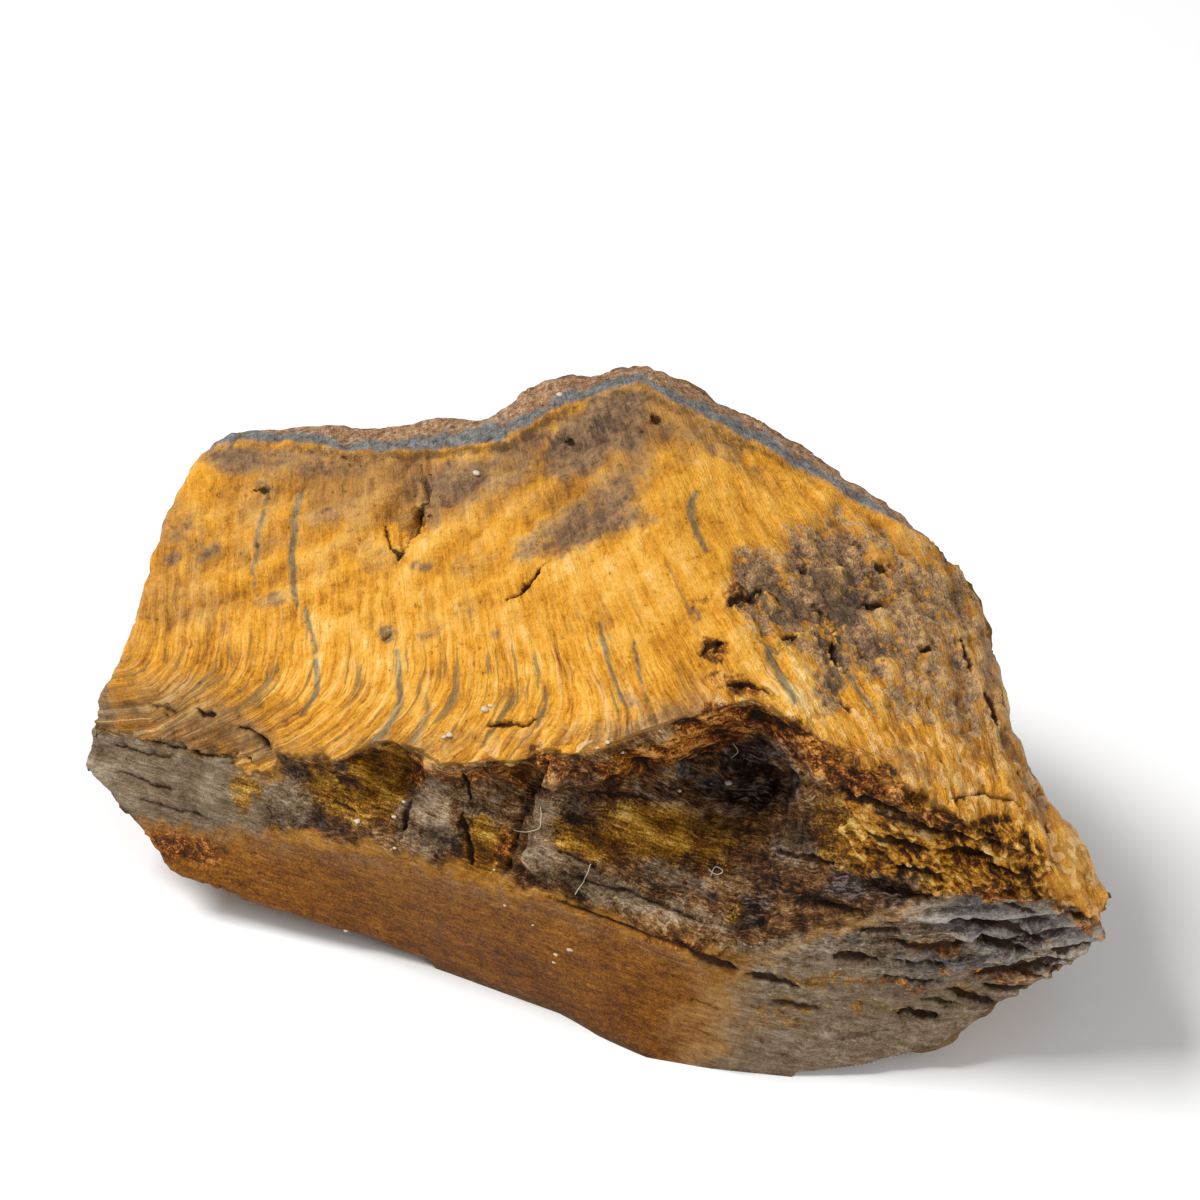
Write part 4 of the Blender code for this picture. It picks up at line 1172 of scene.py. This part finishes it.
def curved_through(points, steps):
    """Evenly eased points through a few control points on the sheet."""
    count = len(points)
    places = np.linspace(0.0, count - 1.0, steps)
    curved = []
    for place in places:
        index = min(int(place), count - 2)
        share = place - index
        around = [points[min(max(index + offset, 0), count - 1)] for offset in (-1, 0, 1, 2)]
        before, start, end, after = np.array(around, float)
        curved.append(
            0.5 * (2 * start + (end - before) * share + (2 * before - 5 * start + 4 * end - after) * share**2
                   + (3 * start - before - 3 * end + after) * share**3)
        )  # fmt: skip
    return curved


def dust_finish():
    shader = Shader("white_dust")
    shader.surface.inputs["Base Color"].default_value = (*DUST_COLOUR, 1.0)
    shader.surface.inputs["Roughness"].default_value = MATT
    return shader.material


def make_dust(stone):
    """White specks and lint hairs lying on the stone."""
    tree = find_skin(stone)
    mesh = bmesh.new()
    for number, (across, down, size) in enumerate(DUST_SPECKS):
        add_speck(mesh, on_skin(tree, across, down, 0.3 * size), size, number * 3.7)
    for points in LINT_HAIRS:
        path = [on_skin(tree, across, down, HAIR_LIFT) for across, down in curved_through(points, HAIR_STEPS)]
        for _ in range(3):
            path[1:-1] = [(a + b + c) / 3.0 for a, b, c in zip(path, path[1:], path[2:])]
        add_hair(mesh, path, HAIR_RADIUS)
    data = bpy.data.meshes.new("dust_and_lint")
    mesh.to_mesh(data)
    mesh.free()
    for polygon in data.polygons:
        polygon.use_smooth = True
    return data


# Places and widths of the lights, in metres.
KEY_PLACE = (-0.28, -0.10, 0.42)
KEY_SIDE = 0.20
FILL_PLACE = (0.38, -0.22, 0.26)
FILL_SIDE = 0.25
LIGHT_AIM = Vector((0.0, 0.0, 0.012))


class StoneSizes(bpy.types.PropertyGroup):
    """How finely the stone is worked."""

    golden_edge: bpy.props.FloatProperty(
        name="Golden face edge",
        description="Longest mesh edge on the golden face, in mm",
        default=0.37, min=0.05,
    )
    broken_edge: bpy.props.FloatProperty(
        name="Broken face edge",
        description="Longest mesh edge on the broken front, in mm",
        default=0.265, min=0.05,
    )
    smooth_edge: bpy.props.FloatProperty(
        name="Smooth face edge",
        description="Longest mesh edge on the smooth lower face, in mm",
        default=0.6, min=0.05,
    )
    crack_edge: bpy.props.FloatProperty(
        name="Crack edge", description="Longest mesh edge beside a crack, in mm", default=0.13, min=0.05
    )
    slot_edge: bpy.props.FloatProperty(
        name="Slot edge",
        description="Longest mesh edge beside a slot of the front, in mm",
        default=0.18, min=0.05,
    )
    hidden_edge: bpy.props.FloatProperty(
        name="Back edge", description="Longest mesh edge on the back and ends, in mm", default=0.78, min=0.05
    )
    base_edge: bpy.props.FloatProperty(
        name="Base edge", description="Longest mesh edge on the resting face, in mm", default=1.2, min=0.1
    )
    rounding_passes: bpy.props.IntProperty(
        name="Rounding passes",
        description="How often the plain skin is eased before it is carved",
        default=8, min=0,
    )


class StageSizes(bpy.types.PropertyGroup):
    """The floor and the light."""

    floor_side: bpy.props.FloatProperty(
        name="Floor side", description="Side of the square floor", default=3.0, unit="LENGTH"
    )
    floor_colour: bpy.props.FloatVectorProperty(
        name="Floor colour", description="Colour of the floor", default=(0.9, 0.9, 0.9), subtype="COLOR"
    )
    key_power: bpy.props.FloatProperty(
        name="Key light",
        description="Power of the large light above and to the left",
        default=2.68, unit="POWER",
    )
    fill_power: bpy.props.FloatProperty(
        name="Fill light", description="Power of the light to the right", default=0.95, unit="POWER"
    )
    sky_strength: bpy.props.FloatProperty(
        name="Sky strength", description="Brightness of the even light all round", default=0.3
    )


class STONE_OT_make_stone(bpy.types.Operator):
    """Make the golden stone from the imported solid"""

    bl_idname = "stone.make_stone"
    bl_label = "Make the stone"

    def execute(self, context):
        data = dress_stone(context.scene.stone_sizes)
        data.materials.append(stone_finish())
        stone = add_object("golden_stone", data)
        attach(stone, "root")
        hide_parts(STONE_NODE)
        return {"FINISHED"}


class STONE_OT_make_dust(bpy.types.Operator):
    """Lay the white dust and lint on the stone"""

    bl_idname = "stone.make_dust"
    bl_label = "Make the dust"

    def execute(self, context):
        data = make_dust(bpy.data.objects["golden_stone"])
        data.materials.append(dust_finish())
        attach(add_object("dust_and_lint", data), "root")
        return {"FINISHED"}


class STONE_OT_make_stage(bpy.types.Operator):
    """Make the floor, the lights and the camera"""

    bl_idname = "stone.make_stage"
    bl_label = "Make the stage"

    def execute(self, context):
        sizes = context.scene.stage_sizes
        mesh = bmesh.new()
        bmesh.ops.create_grid(mesh, x_segments=1, y_segments=1, size=sizes.floor_side / 2.0)
        data = bpy.data.meshes.new("floor")
        mesh.to_mesh(data)
        mesh.free()
        shader = Shader("pale_floor")
        shader.surface.inputs["Base Color"].default_value = (*sizes.floor_colour, 1.0)
        shader.surface.inputs["Roughness"].default_value = MATT
        shader.surface.inputs["Specular IOR Level"].default_value = FLOOR_SPECULAR
        data.materials.append(shader.material)
        add_object("floor", data)

        self.add_light("key_light", KEY_PLACE, KEY_SIDE, sizes.key_power)
        self.add_light("fill_light", FILL_PLACE, FILL_SIDE, sizes.fill_power)
        world = bpy.data.worlds.new("studio")
        world.use_nodes = True
        world.node_tree.nodes["Background"].inputs["Color"].default_value = (1.0, 1.0, 1.0, 1.0)
        world.node_tree.nodes["Background"].inputs["Strength"].default_value = sizes.sky_strength
        context.scene.world = world
        context.scene.view_settings.view_transform = "Standard"
        self.add_camera(context)
        return {"FINISHED"}

    def add_light(self, name, place, side, power):
        light = bpy.data.lights.new(name, "AREA")
        light.energy = power
        light.size = side
        made = add_object(name, light)
        made.location = place
        made.rotation_euler = (LIGHT_AIM - Vector(place)).to_track_quat("-Z", "Y").to_euler()

    def add_camera(self, context):
        camera = bpy.data.cameras.new("camera")
        camera.sensor_width = SENSOR
        camera.lens = FOCAL / SHEET_SIZE * SENSOR
        camera.clip_start = 0.01
        camera.clip_end = 10.0
        made = add_object("camera", camera)
        turn = Matrix((RIGHT, UPWARDS, TOWARDS)).transposed()
        made.matrix_world = Matrix.Translation(EYE * MM) @ turn.to_4x4()
        context.scene.camera = made


class STONE_PT_panel(bpy.types.Panel):
    """The stone's pieces and sizes"""

    bl_label = "Rough tiger's eye"
    bl_space_type = "VIEW_3D"
    bl_region_type = "UI"
    bl_category = "Stone"

    def draw(self, context):
        for operator, sizes in (
            (STONE_OT_make_stone, context.scene.stone_sizes),
            (STONE_OT_make_dust, None),
            (STONE_OT_make_stage, context.scene.stage_sizes),
        ):
            self.layout.operator(operator.bl_idname)
            if sizes is None:
                continue
            for name in sizes.__annotations__:
                self.layout.prop(sizes, name)


CLASSES = (
    StoneSizes, StageSizes, STONE_OT_make_stone, STONE_OT_make_dust, STONE_OT_make_stage, STONE_PT_panel,
)  # fmt: skip


def register():
    for made in CLASSES:
        bpy.utils.register_class(made)
    bpy.types.Scene.stone_sizes = bpy.props.PointerProperty(type=StoneSizes)
    bpy.types.Scene.stage_sizes = bpy.props.PointerProperty(type=StageSizes)


def unregister():
    del bpy.types.Scene.stage_sizes
    del bpy.types.Scene.stone_sizes
    for made in reversed(CLASSES):
        bpy.utils.unregister_class(made)


def main():
    register()
    bpy.ops.stone.make_stone()
    bpy.ops.stone.make_dust()
    bpy.ops.stone.make_stage()


if __name__ == "__main__":
    main()
